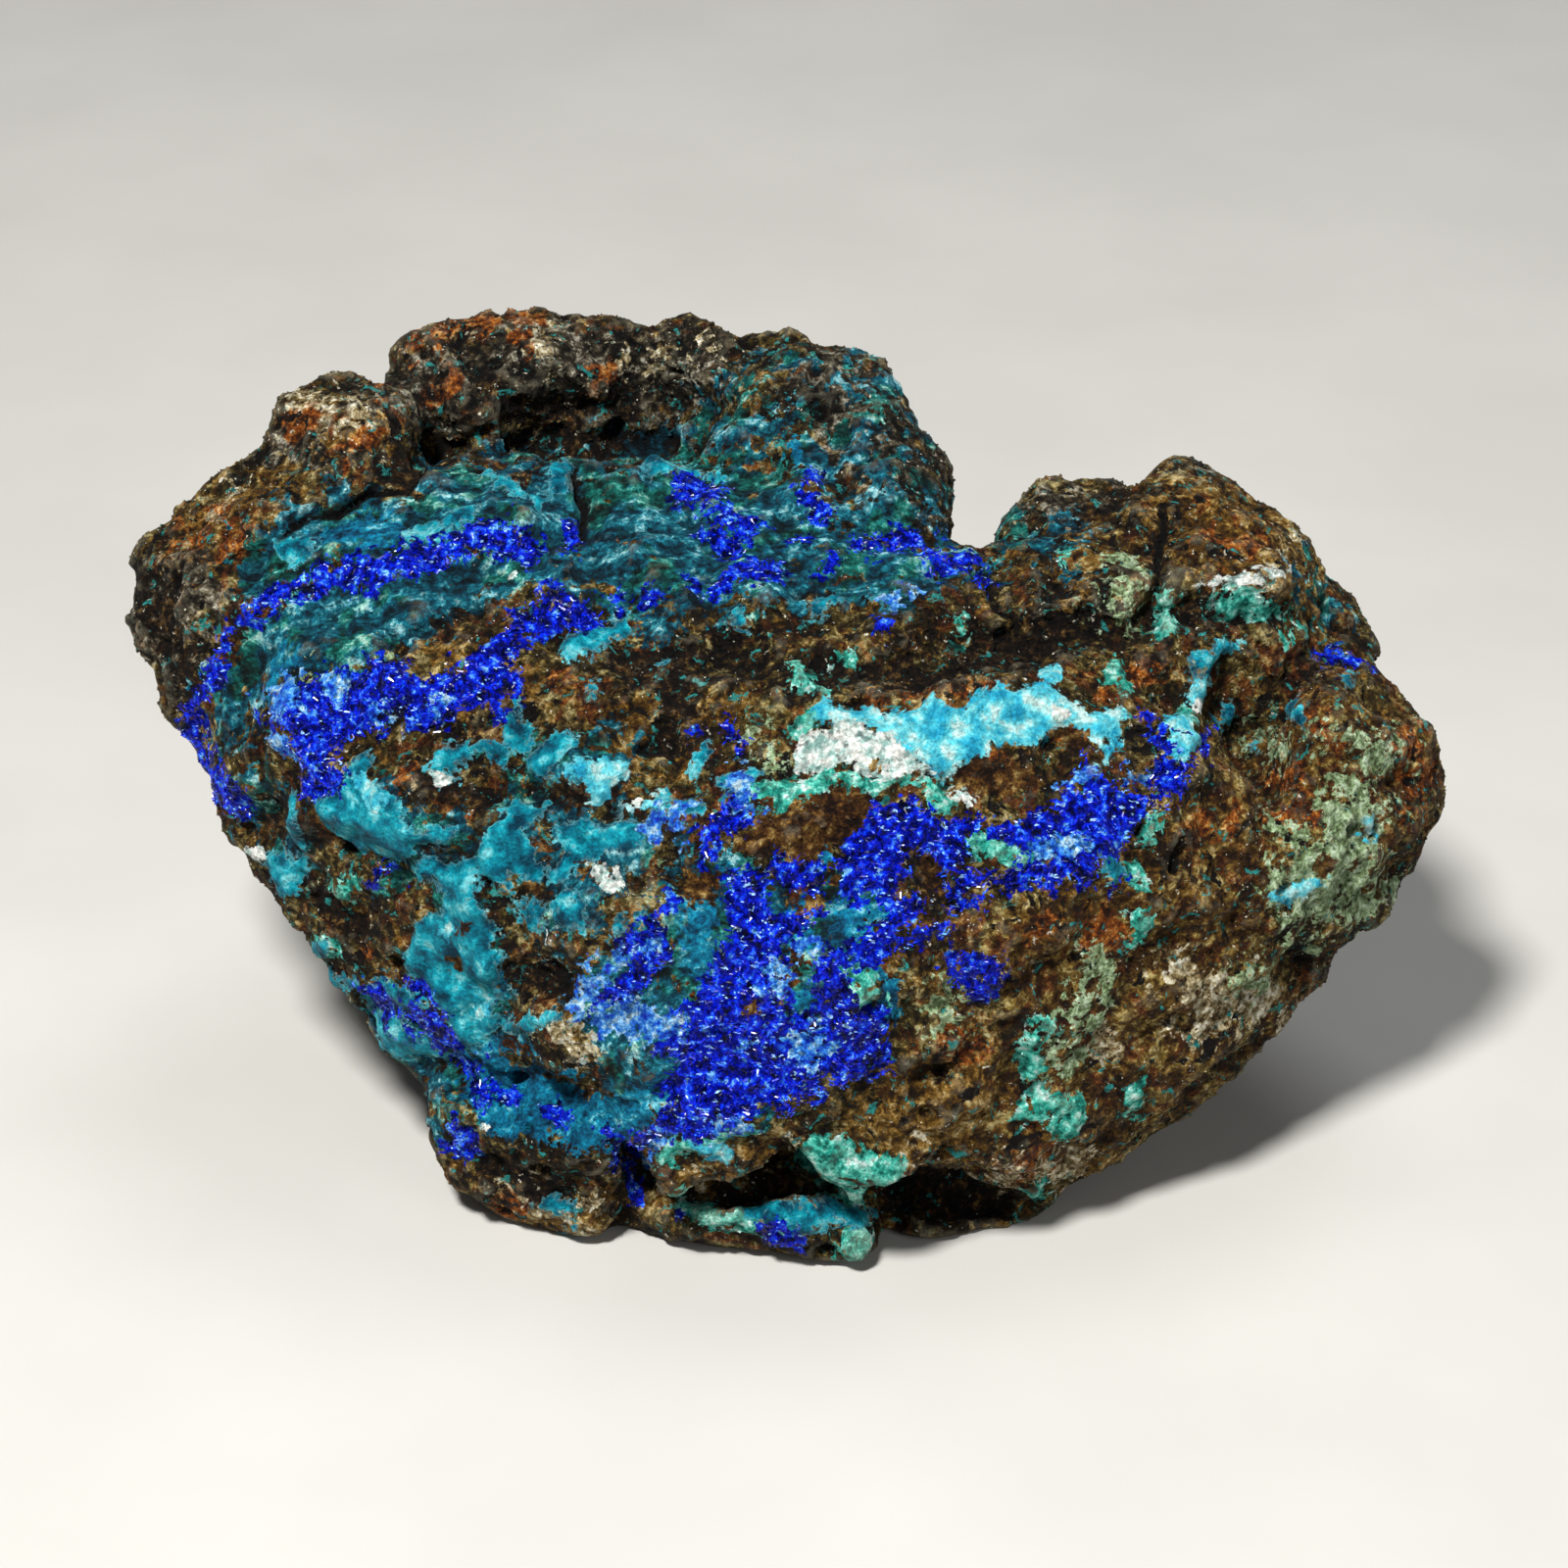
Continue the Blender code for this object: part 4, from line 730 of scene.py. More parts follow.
def scatter(name, skin, inside, settings, wanted):
    # wanted says for each point of the skin how thickly it is planted, 0 to 1
    mesh = skin.data
    mesh.calc_loop_triangles()
    loops = np.empty(len(mesh.loop_triangles) * 3, np.int32)
    mesh.loop_triangles.foreach_get("vertices", loops)
    loops = loops.reshape(-1, 3)
    corners = vertexArray(mesh, "co")[loops]
    cross = np.cross(corners[:, 1] - corners[:, 0], corners[:, 2] - corners[:, 0])
    area = np.linalg.norm(cross, axis=1) / 2
    normal = cross / np.maximum(area * 2, 1e-12)[:, None]
    expected = wanted[loops].mean(axis=1) * settings["perSquareMm"] * area / mm ** 2
    count = min(int(expected.sum()), settings["most"])
    chosen = rng.choice(len(loops), size=count, p=expected / expected.sum())
    share = rng.random((count, 2))
    fold = share.sum(axis=1) > 1
    share[fold] = 1 - share[fold]
    base = (corners[chosen, 0] + share[:, :1] * (corners[chosen, 1] - corners[chosen, 0])
            + share[:, 1:] * (corners[chosen, 2] - corners[chosen, 0]))
    low, high = settings["length"]
    length = (low + (high - low) * rng.random(count) ** 1.6) * mm      # short ones are commoner
    lean = rng.normal(0, 0.6, (count, 3))                              # along the skin, any way round
    lean -= np.sum(lean * normal[chosen], axis=1)[:, None] * normal[chosen]
    lean += normal[chosen] * rng.uniform(*settings["upright"], count)[:, None]
    lean /= np.linalg.norm(lean, axis=1)[:, None]
    side = np.cross(lean, rng.normal(0, 1, (count, 3)))
    side /= np.linalg.norm(side, axis=1)[:, None]
    shape, faces = makeBit(settings["tip"])
    sizes = np.stack((length, length * settings["width"], length * settings["thickness"]), axis=1)
    axes = np.stack((lean, side, np.cross(lean, side)), axis=1) * sizes[:, :, None]
    shapes = shape[None] + rng.uniform(-1, 1, (count, *shape.shape)) * settings["jitter"]
    rise = length * settings["thickness"] * (0.5 - settings["sunk"])
    start = base + normal[chosen] * rise[:, None]
    verts = np.einsum("nvk,nkj->nvj", shapes, axes) + start[:, None, :]
    verts = np.clip(verts.reshape(-1, 3), *np.array(cadBox))
    tris = (faces[None] + (np.arange(count) * len(shape))[:, None, None]).reshape(-1, 3)
    made = bpy.data.meshes.new(name)
    made.from_pydata(verts.tolist(), [], tris.tolist())
    for key, values in inside.items():
        values = values[loops[chosen, 0]]
        if key == "tint":
            values = rng.random(count)
        # a bit stands proud, so it gets little of the painted hollow shade
        elif key in ("near", "far"):
            values = np.clip(values + 0.1, -0.2, 0.2)      # a bit stands proud, so little shade reaches it
        layer = made.attributes.new(key, "FLOAT", "POINT")
        layer.data.foreach_set("value", np.repeat(values, len(shape)).astype(np.float32))
    obj = bpy.data.objects.new(name, made)
    bpy.context.scene.collection.objects.link(obj)
    print(name, "has", count, "bits,", len(tris), "triangles")
    return obj


# Materials
def linear(hexColour):
    # an sRGB hex colour as the shaders take it
    channels = [int(hexColour[i:i + 2], 16) / 255 for i in (1, 3, 5)]
    return (*[c / 12.92 if c <= 0.04045 else ((c + 0.055) / 1.055) ** 2.4 for c in channels], 1.0)


def addNode(tree, kind, inputs=(), out=0, **settings):
    # one node with its settings; its inputs, in order or by name, are outputs of others or plain
    # values; gives one of its outputs
    node = tree.nodes.new("ShaderNode" + kind)
    for key, value in settings.items():
        setattr(node, key, value)
    for key, value in inputs.items() if isinstance(inputs, dict) else enumerate(inputs):
        if isinstance(value, bpy.types.NodeSocket):
            tree.links.new(value, node.inputs[key])
        else:
            node.inputs[key].default_value = value
    return node.outputs[out]


colourMix = {"out": 2, "data_type": "RGBA"}        # what makes a Mix node mix colours


def newMaterial(name):
    # a material, its tree, its shader, and where a point of the piece lies in millimetres
    material = bpy.data.materials.new(name)
    material.use_nodes = True
    tree = material.node_tree
    metres = addNode(tree, "TexCoord", out="Object")
    place = addNode(tree, "VectorMath", {0: metres, "Scale": 1 / mm}, operation="SCALE")
    return material, tree, tree.nodes["Principled BSDF"], place


octaveSpread = 0.14        # how far one octave of Blender's noise strays from its middle


def mottle(tree, place, size, detail, roughness, shift=0, warp=0.0):
    # a fractal pattern with lumps of the given size in millimetres; its values spread like a bell
    # curve round 0, with a deviation of 1
    shifted = addNode(tree, "VectorMath", (place, (shift, shift * 0.7, -shift)), operation="ADD")
    pattern = addNode(tree, "TexNoise", {
        "Vector": shifted, "Scale": 1 / size, "Detail": detail, "Roughness": roughness, "Distortion": warp})
    weights = [roughness ** octave for octave in range(detail + 1)]
    deviation = octaveSpread * math.sqrt(sum(weight ** 2 for weight in weights)) / sum(weights)
    centred = addNode(tree, "Math", (pattern, 0.5), operation="SUBTRACT")
    return addNode(tree, "Math", (centred, 1 / deviation), operation="MULTIPLY")


def streaked(tree, place, along, stretch):
    # the place drawn out the given way, so that a pattern there runs in streaks
    first = Vector(along).normalized()
    second = first.cross(Vector((0, 0, 1))).normalized()
    dots = {}
    for i, axis in enumerate((first / stretch, second, first.cross(second))):
        dots[i] = addNode(tree, "VectorMath", (place, tuple(axis)), "Value", operation="DOT_PRODUCT")
    return addNode(tree, "CombineXYZ", dots)


def toned(tree, pattern, tones):
    # colours for a pattern: tones are (value, colour), the values in deviations of the pattern
    low, high = tones[0][0], tones[-1][0]
    share = addNode(tree, "MapRange", (pattern, low, high))
    colour = addNode(tree, "ValToRGB", [share])
    stops = colour.node.color_ramp.elements
    while len(stops) < len(tones):
        stops.new(0.5)
    for stop, (value, shade) in zip(stops, tones):
        stop.position = (value - low) / (high - low)
        stop.color = linear(shade)
    return colour


def frayed(tree, name, strays, frays):
    # how deep inside a deposit a place lies, its outline frayed by a coarse and a fine mottling
    depth = addNode(tree, "Attribute", out="Fac", attribute_name=name)
    for pattern, stray in zip(frays, strays):
        depth = addNode(tree, "Math", (pattern, stray, depth), operation="MULTIPLY_ADD")
    return depth


def layOver(tree, below, above, depth, reach, edge):
    # a deposit over the colour below, and the share of the ground that it covers
    share = addNode(tree, "MapRange", (depth, -edge - reach, edge - reach))
    return addNode(tree, "Mix", {0: share, 6: below, 7: above}, **colourMix), share


# Azurite: crystals of 0.2 to 0.6 mm with facets of about 0.3 mm; glints of lit facets are painted into its
# colour
azuriteLook = {
    "body": (0.9, 6, 0.7, 53),              # clouds in its depth of colour: size in millimetres, octaves,
    "paintedGlints": (0.3, 1, 0.5, 67),            # roughness, shift; and the same for lit facets
    "paintedGlintsAlong": (0.9, 0.1, -0.1),        # the way most facets are drawn out
    "paintedGlintsStretch": 2.6,
    "paintedGlintsFrom": (1.7, 1.9),               # deviations: only the rare peaks of the pattern light up
    # painted glint: the pale blue painted where a facet would reflect the lamp
    "paintedGlint": "#94C2FA",
    "tones": [(-2.0, "#00031C"), (-0.9, "#000864"), (0.1, "#010FAE"), (0.9, "#0626DA"), (1.6, "#1A60E6"),
              (2.3, "#70B0F2")],
    "brightness": (0.6, 1.3),               # of single crystals
    "polish": (0.3, 2, 0.5),
    "roughness": (0.12, 0.35),
    "specular": 0.22,
    "ior": 1.7,
}


def royalBlue(tree, place):
    # azurite's own colour: nearly black blue where it is thick, with painted pale blue glints where facets
    # would catch the light
    body = toned(tree, mottle(tree, place, *azuriteLook["body"]), azuriteLook["tones"])
    drawnOut = streaked(tree, place, azuriteLook["paintedGlintsAlong"], azuriteLook["paintedGlintsStretch"])
    paintedGlints = mottle(tree, drawnOut, *azuriteLook["paintedGlints"])
    # painted glints: pale blue at the rare peaks of a streaked pattern
    lit = addNode(tree, "MapRange", (paintedGlints, *azuriteLook["paintedGlintsFrom"]))
    return addNode(tree, "Mix", {0: lit, 6: body, 7: linear(azuriteLook["paintedGlint"])}, **colourMix)


# Oxidised copper ore: dull iron-stained quartz rock under crusts of chrysocolla, malachite and azurite.
# A mottling is (lump size in millimetres, octaves, roughness, shift, warp); all are sizes of crumbs and
# patches that such rock has.
goldTones = [(-2.0, "#1E1001"), (-0.8, "#472E09"), (0.2, "#6E4F18"), (1.2, "#957439"), (2.4, "#CDB882")]
oreLook = {
    "frays": {                              # a coarse and a fine mottling for each
        "wide": ((3.0, 5, 0.58, 0, 0.9), (0.75, 3, 0.6, 9)),
        "middle": ((2.2, 5, 0.58, 31, 0.9), (0.55, 3, 0.6, 40)),
        "narrow": ((1.7, 5, 0.58, 53, 0.9), (0.425, 3, 0.6, 62)),
    },
    "mottles": {
        "grit": (0.75, 6, 0.7, 3, 0.4),       # crumbs of quartz and limonite
        "clouds": (3.4, 5, 0.6, 7, 0.5),      # iron stain
        # the finest grain: it sets the bump, and its low places get painted shade in the colour
        "fine": (0.25, 3, 0.6, 61),           # the rock's own grain
        "patches": (2.4, 5, 0.62, 71, 1.0),   # reddened rock, and soot between
        "nests": (1.9, 5, 0.6, 83, 1.0),      # golden limonite
        "strewn": (1.2, 5, 0.66, 23, 0.8),    # copper specks in bare rock
        "specks": (0.5, 2, 0.6, 29),          # quartz specks
        "greenish": (4.0, 4, 0.6, 97),        # where the copper wash is greener
        "mint": (0.9, 5, 0.66, 37),           # malachite; its fibres are too fine to show
        "sky": (1.6, 5, 0.6, 41),             # kidneys of chrysocolla
        "quartz": (0.9, 5, 0.66, 43),         # quartz crystals, drawn in small groups
        "smalt": (0.8, 5, 0.7, 47),           # thin azurite on rock
    },
    "streaks": (1.8, 5, 0.62, 31, 0.6),
    "streaksAlong": (0.93, 0.1, 0.3),
    "streaksStretch": 2.0,
    # blended mottlings: (first, its share, second, what brings the deviation back to about 1)
    "blends": {"rock": ("clouds", 0.7, "grit", 0.88), "streaks": ("grit", 0.7, "streaks", 0.85)},
    "rockTones": [
        (-2.4, "#040300"), (-1.2, "#150D03"), (-0.3, "#2A2009"), (0.5, "#453815"), (1.3, "#6B5B2C"),
        (2.5, "#B2A472")],
    "greenTones": [
        (-2.2, "#02120F"), (-1.1, "#04342F"), (-0.2, "#07564F"), (0.6, "#15746A"), (1.3, "#449C8E"),
        (2.3, "#B0DCCA")],
    "greener": (-0.55, 0.4),                # how far the wash's greener patches reach, and their edge
    "rim": "#A8E0DC",                       # the pale rim where turquoise thins out
    "rimFade": (-0.05, 0.2, 0.25, 0.0),     # from its outline inwards, and how much from there to there
    # paler humps: the colour of rubbed rock, used as wear and as painted highlight
    "wearAndHighlight": "#CFC7AA",                      # rubbed rock on the humps
    "smallHollows": 3.4,                    # how much more they count than large ones
    # from which to which height, and how much from there to there: painted shade in the hollows, and wear
    # with painted highlight on the humps
    "hollows": (-1.3, 0.1, 0.12, 1.0),      # what is left of the colour
    "humps": (0.35, 1.5, 0.0, 0.25),        # what is rubbed off
    # painted shade and highlight over the finest grain, darker in its pits and paler on its tops
    "fineShade": (-2.2, 1.6, 0.65, 1.1),    # brightness over the finest mottling
    "bitShade": (0.0, 1.0, 0.7, 1.3),       # brightness of single grains
    "crustShade": 0.65,                     # how much of the hollows' shade the crusts leave out
    "roughness": {"rock": (0.6, 0.85), "waxy": (0.4, 0.65), "glassy": (0.18, 0.45)},
    "specular": 0.12,
    "ior": 1.55,
    "bump": 0.07,                           # millimetres
    "fineBump": 0.35,                       # the finest mottling's part of it
    "facetsPerMm": 3.0,
    "facetTilt": {"rock": 0.5, "sky": 0.25, "quartz": 0.6, "azurite": 0.9},
}

# The ore's colours from the lowest up. A name of a deposit follows its outline, frayed by the named
# mottlings as far as the two numbers say, in millimetres; any other is strewn where its mottling peaks.
# Then how far it reaches past that outline, how soft its edge is, and its tones from the darkest
# pattern value to the palest, over the named mottling, or one plain colour.
oreLayers = {
    "warm": ("wide", (1.2, 0.4), 0, 0.9, "rock", [
        (-2.4, "#100601"), (-1.2, "#2E1A05"), (-0.3, "#4C330F"), (0.5, "#664B1C"), (1.3, "#877034"),
        (2.5, "#C4B276")]),
    "red": ("patches", 1, -0.8, 0.4, "rock", [
        (-2.0, "#120401"), (-0.6, "#341605"), (0.4, "#522A0C"), (1.4, "#74461C"), (2.4, "#A47E4A")]),
    "gold": ("nests", 1, -1.35, 0.25, "rock", goldTones),
    "grey": ("middle", (1.2, 0.4), 0, 0.9, "rock", [
        (-2.2, "#020201"), (-1.1, "#0D0A06"), (-0.3, "#231D14"), (0.5, "#3D3527"), (1.3, "#6A6353"),
        (2.4, "#B0AC9C")]),
    "ochre": ("narrow", (1.0, 0.4), 0, 0.4, "rock", goldTones),
    "pale": ("middle", (1.0, 0.45), -0.3, 0.2, "grit", [
        (-1.8, "#40311A"), (-0.5, "#917E54"), (0.6, "#CCC09C"), (1.8, "#F2EEDC")]),
    "rust": ("wide", (0.9, 0.3), -0.2, 0.5, "grit", [
        (-1.8, "#1C0A02"), (-0.7, "#512406"), (0.3, "#85430F"), (1.2, "#AC6824"), (2.2, "#CBA060")]),
    # dark: iron oxide, and painted shade in hollows and under ledges
    "dark": ("wide", (0.8, 0.4), 0, 0.25, "grit", [
        (-1.6, "#030201"), (0.1, "#180D05"), (1.1, "#35230E"), (2.0, "#6A5029")]),
    "soot": ("patches", -1, -1.5, 0.2, None, "#0A0502"),
    "copperSpecks": ("strewn", 1, -1.85, 0.1, None, "#2A8A86"),
    "whiteSpecks": ("specks", 1, -2.35, 0.1, None, "#D6D0BC"),
    "sage": ("narrow", (0.9, 0.45), 0, 0.2, "grit", [
        (-1.8, "#4C5834"), (-0.6, "#7E966A"), (0.4, "#A2BC90"), (1.6, "#CCE2C2")]),
    "teal": ("middle", (1.0, 0.4), 0.2, 0.07, "streaks", [
        (-2.2, "#010F15"), (-1.1, "#022633"), (-0.2, "#044458"), (0.6, "#0B6476"), (1.3, "#2F8C9C"),
        (2.3, "#A0D6DC")]),
    "deep": ("middle", (0.4, 0.2), 0.1, 0.07, "streaks", [
        (-2.2, "#01283C"), (-0.8, "#025478"), (0.4, "#047A9E"), (1.4, "#1C98B6"), (2.3, "#7CCAD8")]),
    "bare": ("narrow", (0.45, 0.3), 0.1, 0.07, None, None),
    "mint": ("middle", (0.4, 0.2), 0.1, 0.07, "mint", [
        (-2.0, "#06524C"), (-0.8, "#1C9482"), (0.3, "#50C4B0"), (1.3, "#9AE4D4"), (2.2, "#E0F8F2")]),
    "turquoise": ("narrow", (0.24, 0.12), 0.1, 0.07, "sky", [
        (-2.0, "#003A50"), (-0.8, "#016A82"), (0.2, "#048EA4"), (1.1, "#1CAEC0"), (2.2, "#7CD6DE")]),
    "aqua": ("middle", (0.3, 0.12), 0.1, 0.12, "sky", [
        (-2.0, "#1C9CC4"), (-0.8, "#40C0DA"), (0.4, "#74DCE6"), (1.8, "#D2F6F2")]),
    "quartz": ("middle", (0.18, 0.12), 0.1, 0.07, "quartz", [
        (-1.8, "#8CB4AC"), (-0.4, "#CCE0DA"), (0.8, "#F4F5EE")]),
    "azurite": ("middle", (0.35, 0.25), 0.1, 0.07, None, None),
    "smalt": ("wide", (0.5, 0.35), 0, 0.12, "smalt", [
        (-1.8, "#0C28B4"), (-0.5, "#2470DA"), (0.5, "#5AA8EC"), (1.8, "#C4E4F6")]),
    "pocket": ("narrow", (0.25, 0.15), 0, 0.07, None, None),
    "crack": ("narrow", (0.1, 0.08), 0.1, 0.1, None, "#0A0502"),
}


def oreMottles(tree, place):
    # every pattern of the ore by its name
    mottles = {name: mottle(tree, place, *values) for name, values in oreLook["mottles"].items()}
    drawnOut = streaked(tree, place, oreLook["streaksAlong"], oreLook["streaksStretch"])
    mottles["streaks"] = mottle(tree, drawnOut, *oreLook["streaks"])
    for name, (first, share, second, evening) in oreLook["blends"].items():
        inputs = (mottles[first], share, mottles[second])
        both = addNode(tree, "Math", inputs, operation="MULTIPLY_ADD")
        mottles[name] = addNode(tree, "Math", (both, evening), operation="MULTIPLY")
    return mottles


def oreColour(tree, place, mottles):
    # the ore's colour, and the share of the ground that each layer covers
    frays = {name: [mottle(tree, place, *values) for values in pair]
             for name, pair in oreLook["frays"].items()}
    colour = toned(tree, mottles["rock"], oreLook["rockTones"])
    grounds, shares = {"azurite": royalBlue(tree, place)}, {}
    for name, (outline, strays, reach, edge, mottling, tones) in oreLayers.items():
        if name in deposits:
            depth = frayed(tree, name, strays, frays[outline])
        else:
            depth = addNode(tree, "Math", (mottles[outline], strays), operation="MULTIPLY")
        if mottling:
            grounds[name] = toned(tree, mottles[mottling], tones)
        elif tones:
            grounds[name] = linear(tones)
        if name == "teal":            # greener in wide patches
            green = toned(tree, mottles["streaks"], oreLook["greenTones"])
            grounds[name], _ = layOver(tree, grounds[name], green, mottles["greenish"], *oreLook["greener"])
        elif name == "turquoise":     # paler towards its rim
            rim = addNode(tree, "MapRange", (depth, *oreLook["rimFade"]))
            inputs = {0: rim, 6: grounds[name], 7: linear(oreLook["rim"])}
            grounds[name] = addNode(tree, "Mix", inputs, **colourMix)
        elif name == "pocket":        # rust and brown rock, half and half
            inputs = {0: 0.5, 6: grounds["warm"], 7: grounds["red"]}
            grounds[name] = addNode(tree, "Mix", inputs, **colourMix)
        colour, shares[name] = layOver(tree, colour, grounds[name], depth, reach, edge)
        if name == "whiteSpecks":     # the last of the rock, which shows again in windows of the wash
            grounds["bare"] = colour
    return colour, shares


def shaded(tree, colour, fine, crusted):
    # painted shade darkens the colour in hollows, and humps are painted paler, partly as wear and partly as
    # painted highlight; crusts take less of both
    near, far, tint = [addNode(tree, "Attribute", out="Fac", attribute_name=name)
                       for name in ("near", "far", "tint")]
    depth = addNode(tree, "Math", (near, oreLook["smallHollows"], far), operation="MULTIPLY_ADD")
    spared = addNode(tree, "Math", (crusted, oreLook["crustShade"]), operation="MULTIPLY")
    # painted shade: the colour is kept whole on flats and darkened in the hollows
    shade = addNode(tree, "MapRange", (depth, *oreLook["hollows"]))
    shade = addNode(tree, "Mix", {"Factor": spared, "A": shade, "B": 1.0})
    # painted shade in the finest grain's pits; each loose bit's brightness differs at random
    for value, change in ((fine, oreLook["fineShade"]), (tint, oreLook["bitShade"])):
        change = addNode(tree, "MapRange", (value, *change))
        shade = addNode(tree, "Math", (shade, change), operation="MULTIPLY")
    # paler humps: partly wear, partly painted highlight
    hump = addNode(tree, "MapRange", (depth, *oreLook["humps"]))
    uncrusted = addNode(tree, "Math", (1.0, crusted), operation="SUBTRACT")
    wearAndHighlight = addNode(tree, "Math", (hump, uncrusted), operation="MULTIPLY")
    colour = addNode(tree, "Mix", {0: wearAndHighlight, 6: colour, 7: linear(oreLook["wearAndHighlight"])}, **colourMix)
    # the painted shade multiplies the colour
    return addNode(tree, "Mix", {0: 1.0, 6: colour, 7: shade}, **colourMix, blend_type="MULTIPLY")


def oreMaterial():
    # The eye gets sharp colour borders, specks of every colour in every other, dark hollows with painted
    # shade, glassy azurite with painted glints and quartz, waxy chrysocolla and dull rock
    material, tree, shader, place = newMaterial("copperOre")
    mottles = oreMottles(tree, place)
    colour, shares = oreColour(tree, place, mottles)
    outside = addNode(tree, "Math", (1.0, shares["pocket"]), operation="SUBTRACT")
    royal = addNode(tree, "Math", (shares["azurite"], outside), operation="MULTIPLY")
    sky = addNode(tree, "Math", (shares["turquoise"], shares["aqua"]), operation="MAXIMUM")
    glassy = addNode(tree, "Math", (royal, shares["quartz"]), operation="MAXIMUM")
    crusted = glassy
    for share in (sky, shares["deep"]):
        crusted = addNode(tree, "Math", (crusted, share), operation="MAXIMUM")
    tree.links.new(shaded(tree, colour, mottles["fine"], crusted), shader.inputs["Base Color"])

    dull, waxy, polished = [addNode(tree, "MapRange", (mottles["grit"], -2, 2, *grade))
                            for grade in oreLook["roughness"].values()]
    rough = addNode(tree, "Mix", {"Factor": sky, "A": dull, "B": waxy})
    rough = addNode(tree, "Mix", {"Factor": glassy, "A": rough, "B": polished})
    tree.links.new(rough, shader.inputs["Roughness"])
    shader.inputs["Specular IOR Level"].default_value = oreLook["specular"]
    shader.inputs["IOR"].default_value = oreLook["ior"]

    # facets too small to model: each cell gets its own tilt
    tilts = oreLook["facetTilt"]
    strength = tilts["rock"]
    for share, tilt in ((sky, tilts["sky"]), (shares["quartz"], tilts["quartz"]), (royal, tilts["azurite"])):
        strength = addNode(tree, "Mix", {"Factor": share, "A": strength, "B": tilt})
    facets = addNode(tree, "TexVoronoi", {"Vector": place, "Scale": oreLook["facetsPerMm"]}, "Color")
    tilted = addNode(tree, "VectorMath", (facets, (0.5, 0.5, 0.5)), operation="SUBTRACT")
    tilted = addNode(tree, "VectorMath", {0: tilted, "Scale": strength}, operation="SCALE")
    inputs = (mottles["fine"], oreLook["fineBump"], mottles["grit"])
    height = addNode(tree, "Math", inputs, operation="MULTIPLY_ADD")
    bump = addNode(tree, "Bump", {"Height": height, "Strength": 1.0, "Distance": oreLook["bump"] * mm})
    faceted = addNode(tree, "VectorMath", (bump, tilted), operation="ADD")
    faceted = addNode(tree, "VectorMath", [faceted], operation="NORMALIZE")
    tree.links.new(faceted, shader.inputs["Normal"])
    print(material.name, "has", len(oreLayers), "layers over the rock")
    return material


def azuriteMaterial():
    # Azurite crystal, IOR 1.73 to 1.84: deep royal blue with a glassy lustre, so a lit druse sparkles
    # white on nearly black blue; its colour also carries painted glints
    material, tree, shader, place = newMaterial("azuriteCrystal")
    tint = addNode(tree, "Attribute", out="Fac", attribute_name="tint")
    bright = addNode(tree, "MapRange", (tint, 0, 1, *azuriteLook["brightness"]))
    blue = royalBlue(tree, place)
    colour = addNode(tree, "Mix", {0: 1.0, 6: blue, 7: bright}, **colourMix, blend_type="MULTIPLY")
    tree.links.new(colour, shader.inputs["Base Color"])
    polish = mottle(tree, place, *azuriteLook["polish"])
    rough = addNode(tree, "MapRange", (polish, -1.5, 1.5, *azuriteLook["roughness"]))
    tree.links.new(rough, shader.inputs["Roughness"])
    shader.inputs["Specular IOR Level"].default_value = azuriteLook["specular"]
    shader.inputs["IOR"].default_value = azuriteLook["ior"]
    return material


floorLook = {
    "halfSide": 1.5,                        # metres
    "clouds": (30, 3, 0.5),                 # size in millimetres, octaves, roughness
    "tones": [(-1.5, "#B1AFAA"), (1.5, "#B5B3AE")],
    "roughness": 0.8,
}


def floorMaterial():
    # matt painted board with a faint unevenness
    material, tree, shader, place = newMaterial("paleBoard")
    colour = toned(tree, mottle(tree, place, *floorLook["clouds"]), floorLook["tones"])
    tree.links.new(colour, shader.inputs["Base Color"])
    shader.inputs["Roughness"].default_value = floorLook["roughness"]
    return material


# Stage, lights and camera
def setStage():
    sweep = bmesh.new()
    bmesh.ops.create_grid(sweep, x_segments=1, y_segments=1, size=floorLook["halfSide"])
    mesh = bpy.data.meshes.new("studioFloor")
    sweep.to_mesh(mesh)
    sweep.free()
    floor = bpy.data.objects.new("studioFloor", mesh)
    bpy.context.scene.collection.objects.link(floor)
    mesh.materials.append(floorMaterial())


studio = {
    "lamps": {
        # name: (place, size, watts, colour), metres
        "key": ((-0.14, -0.29, 0.54), 0.10, 7.0, (1.0, 0.99, 0.97)),
        "top": ((0.12, 0.2, 0.6), 0.3, 1.2, (0.95, 0.98, 1.0)),
        "fill": ((0.45, -0.5, 0.3), 0.4, 1.2, (1.0, 1.0, 1.0)),
    },
    "aim": (0, 0, 0.025),
    "sky": (0.9, 0.92, 0.95, 1),
    "skyStrength": 0.1,
}


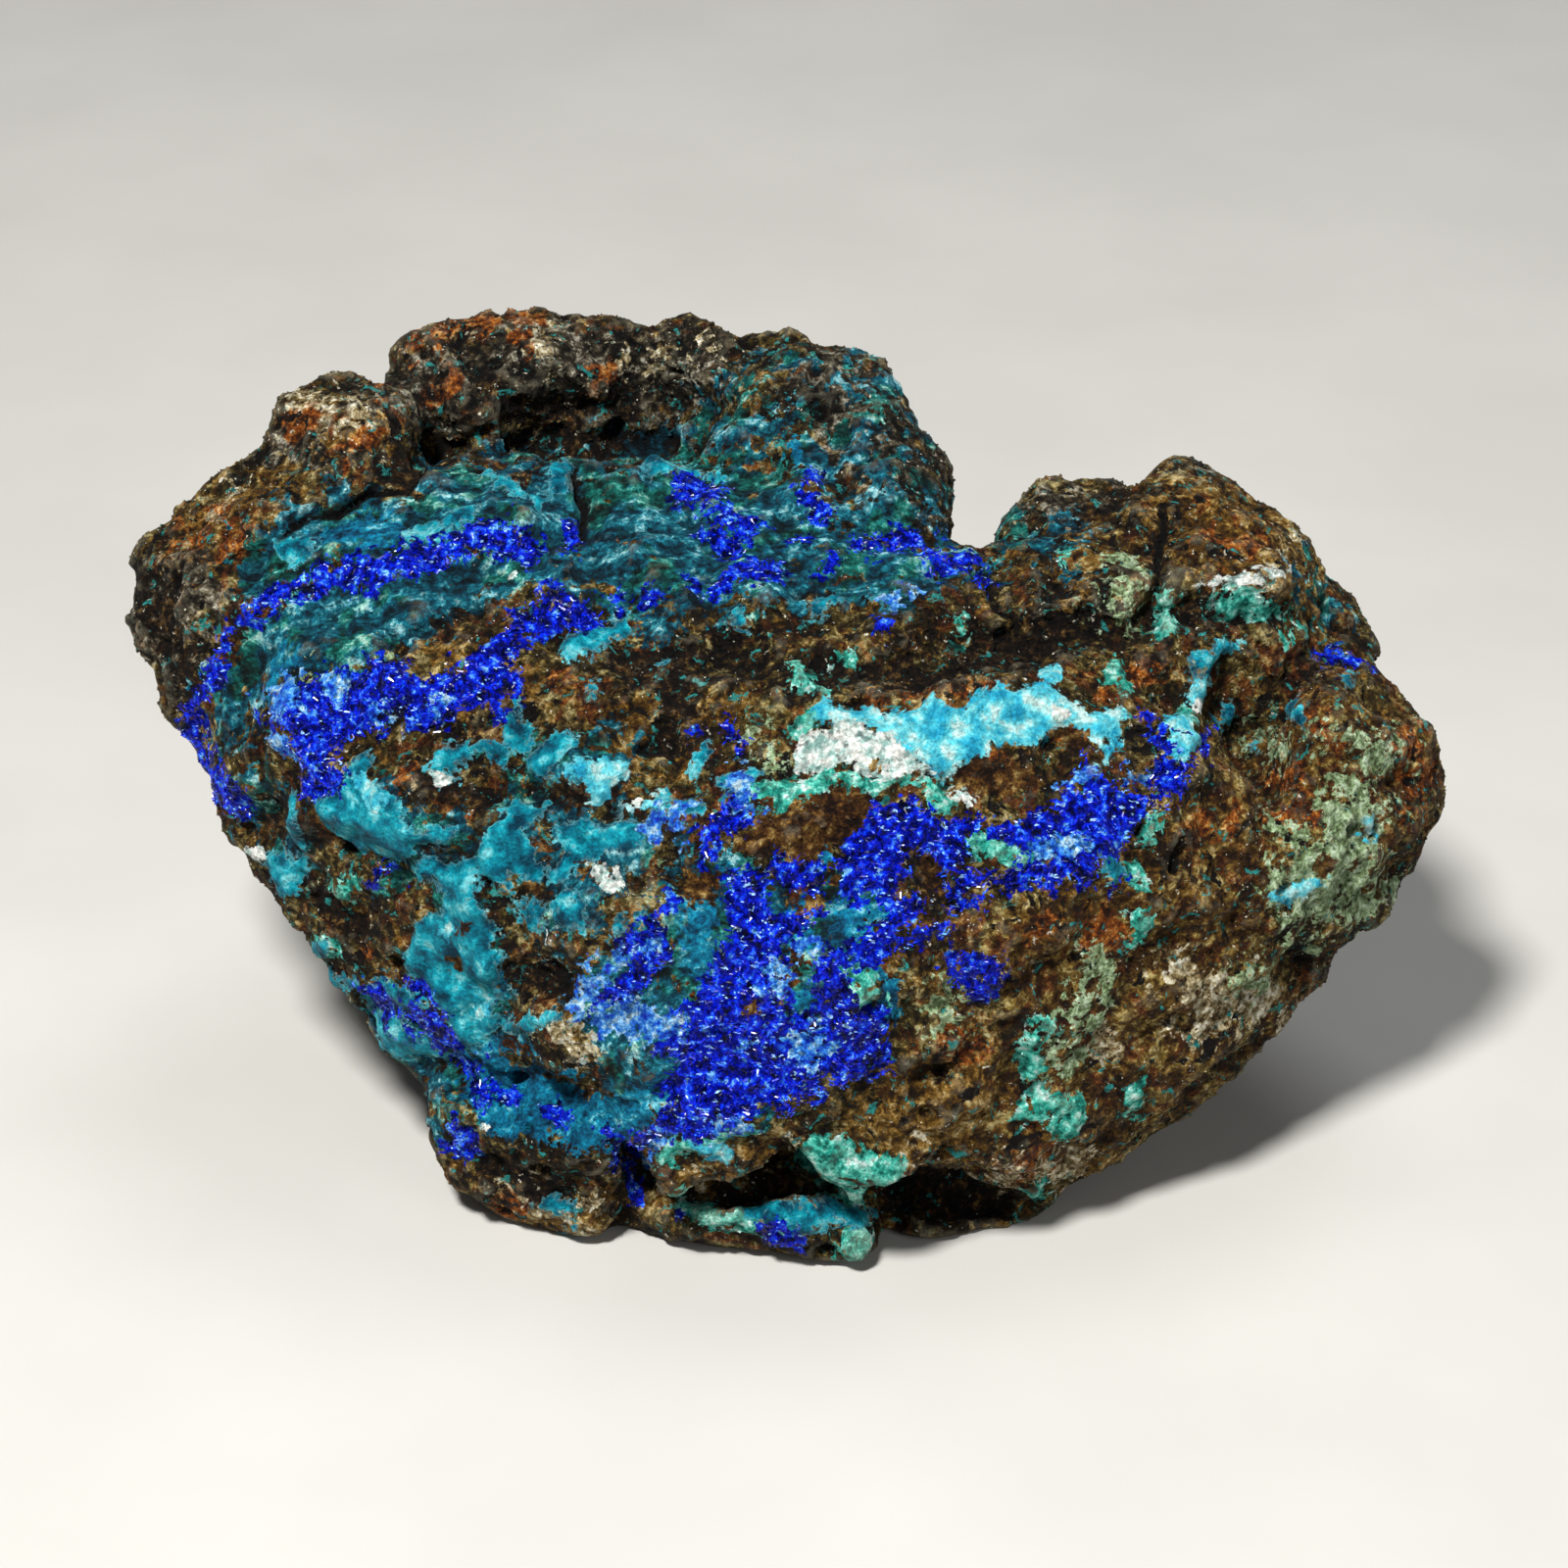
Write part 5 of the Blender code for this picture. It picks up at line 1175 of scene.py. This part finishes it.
def setLights():
    for name, (place, size, watts, tint) in studio["lamps"].items():
        light = bpy.data.lights.new(name, "AREA")
        light.shape = "DISK"
        light.size = size
        light.energy = watts
        light.color = tint
        lamp = bpy.data.objects.new(name, light)
        lamp.location = place
        lamp.rotation_euler = (Vector(studio["aim"]) - Vector(place)).to_track_quat("-Z", "Y").to_euler()
        bpy.context.scene.collection.objects.link(lamp)
    world = bpy.data.worlds.new("studio")
    world.use_nodes = True
    background = world.node_tree.nodes["Background"]
    background.inputs["Color"].default_value = studio["sky"]
    background.inputs["Strength"].default_value = studio["skyStrength"]
    bpy.context.scene.world = world
    bpy.context.scene.view_settings.view_transform = "Standard"


def setCamera():
    lens = bpy.data.cameras.new("camera")
    lens.sensor_width = view["sensor"]
    widthSeen = view["imageSide"] / view["pixelsPerMm"] * view["drawnScale"] * mm
    lens.lens = view["sensor"] * view["distance"] / widthSeen
    lens.clip_start = 0.01
    camera = bpy.data.objects.new("camera", lens)
    camera.location = Vector(view["middle"]) + Vector(toward) * view["distance"]
    camera.rotation_euler = (-Vector(toward)).to_track_quat("-Z", "Y").to_euler()
    bpy.context.scene.collection.objects.link(camera)
    bpy.context.scene.camera = camera


def settle(piece, material):
    # gives a piece its material and the body that it rides on
    piece.data.materials.clear()
    piece.data.materials.append(material)
    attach(piece, "root")


def plantBits(skin, inside, ore):
    # azurite blades in the druses of the lower face and of the terrace, and grit on the bare rock
    points, normals = vertexArray(skin.data, "co"), vertexArray(skin.data, "normal")
    level = asSeen(points)[:, 1]                    # millimetres above the middle of the view
    facing = smoothStep(normals @ toward, -0.3, 0.2)
    over = {name: smoothStep(inside[name], -0.4, 0.2) for name in deposits}
    blue = over["azurite"] * (1 - over["smalt"]) * (1 - over["pocket"])
    crusted = np.maximum.reduce([over[name] for name in ("azurite", "turquoise", "aqua", "mint", "quartz")])
    rocky = (1 - crusted) * (1 - gritSettings["keptOff"] * over["teal"])
    rocky *= (points[:, 2] > gritSettings["lowest"] * mm)
    behind = gritSettings["behind"]
    high = level >= druseSettings["parting"]
    crystal = azuriteMaterial()
    for name, settings, wanted, material in (
            ("azuriteDruseLow", druseSettings, blue * ~high, crystal),
            ("azuriteDruseHigh", druseSettings, blue * high, crystal),
            ("rockGrit", gritSettings, rocky * (behind + (1 - behind) * facing), ore)):
        settle(scatter(name, skin, inside, settings, wanted), material)


skin = growSkin(skinSettings)
inside = carveSkin(skin, skinSettings)
ore = oreMaterial()
settle(skin, ore)
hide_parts("specimen")
plantBits(skin, inside, ore)
setStage()
setLights()
setCamera()
print("stage, lights and camera are set")
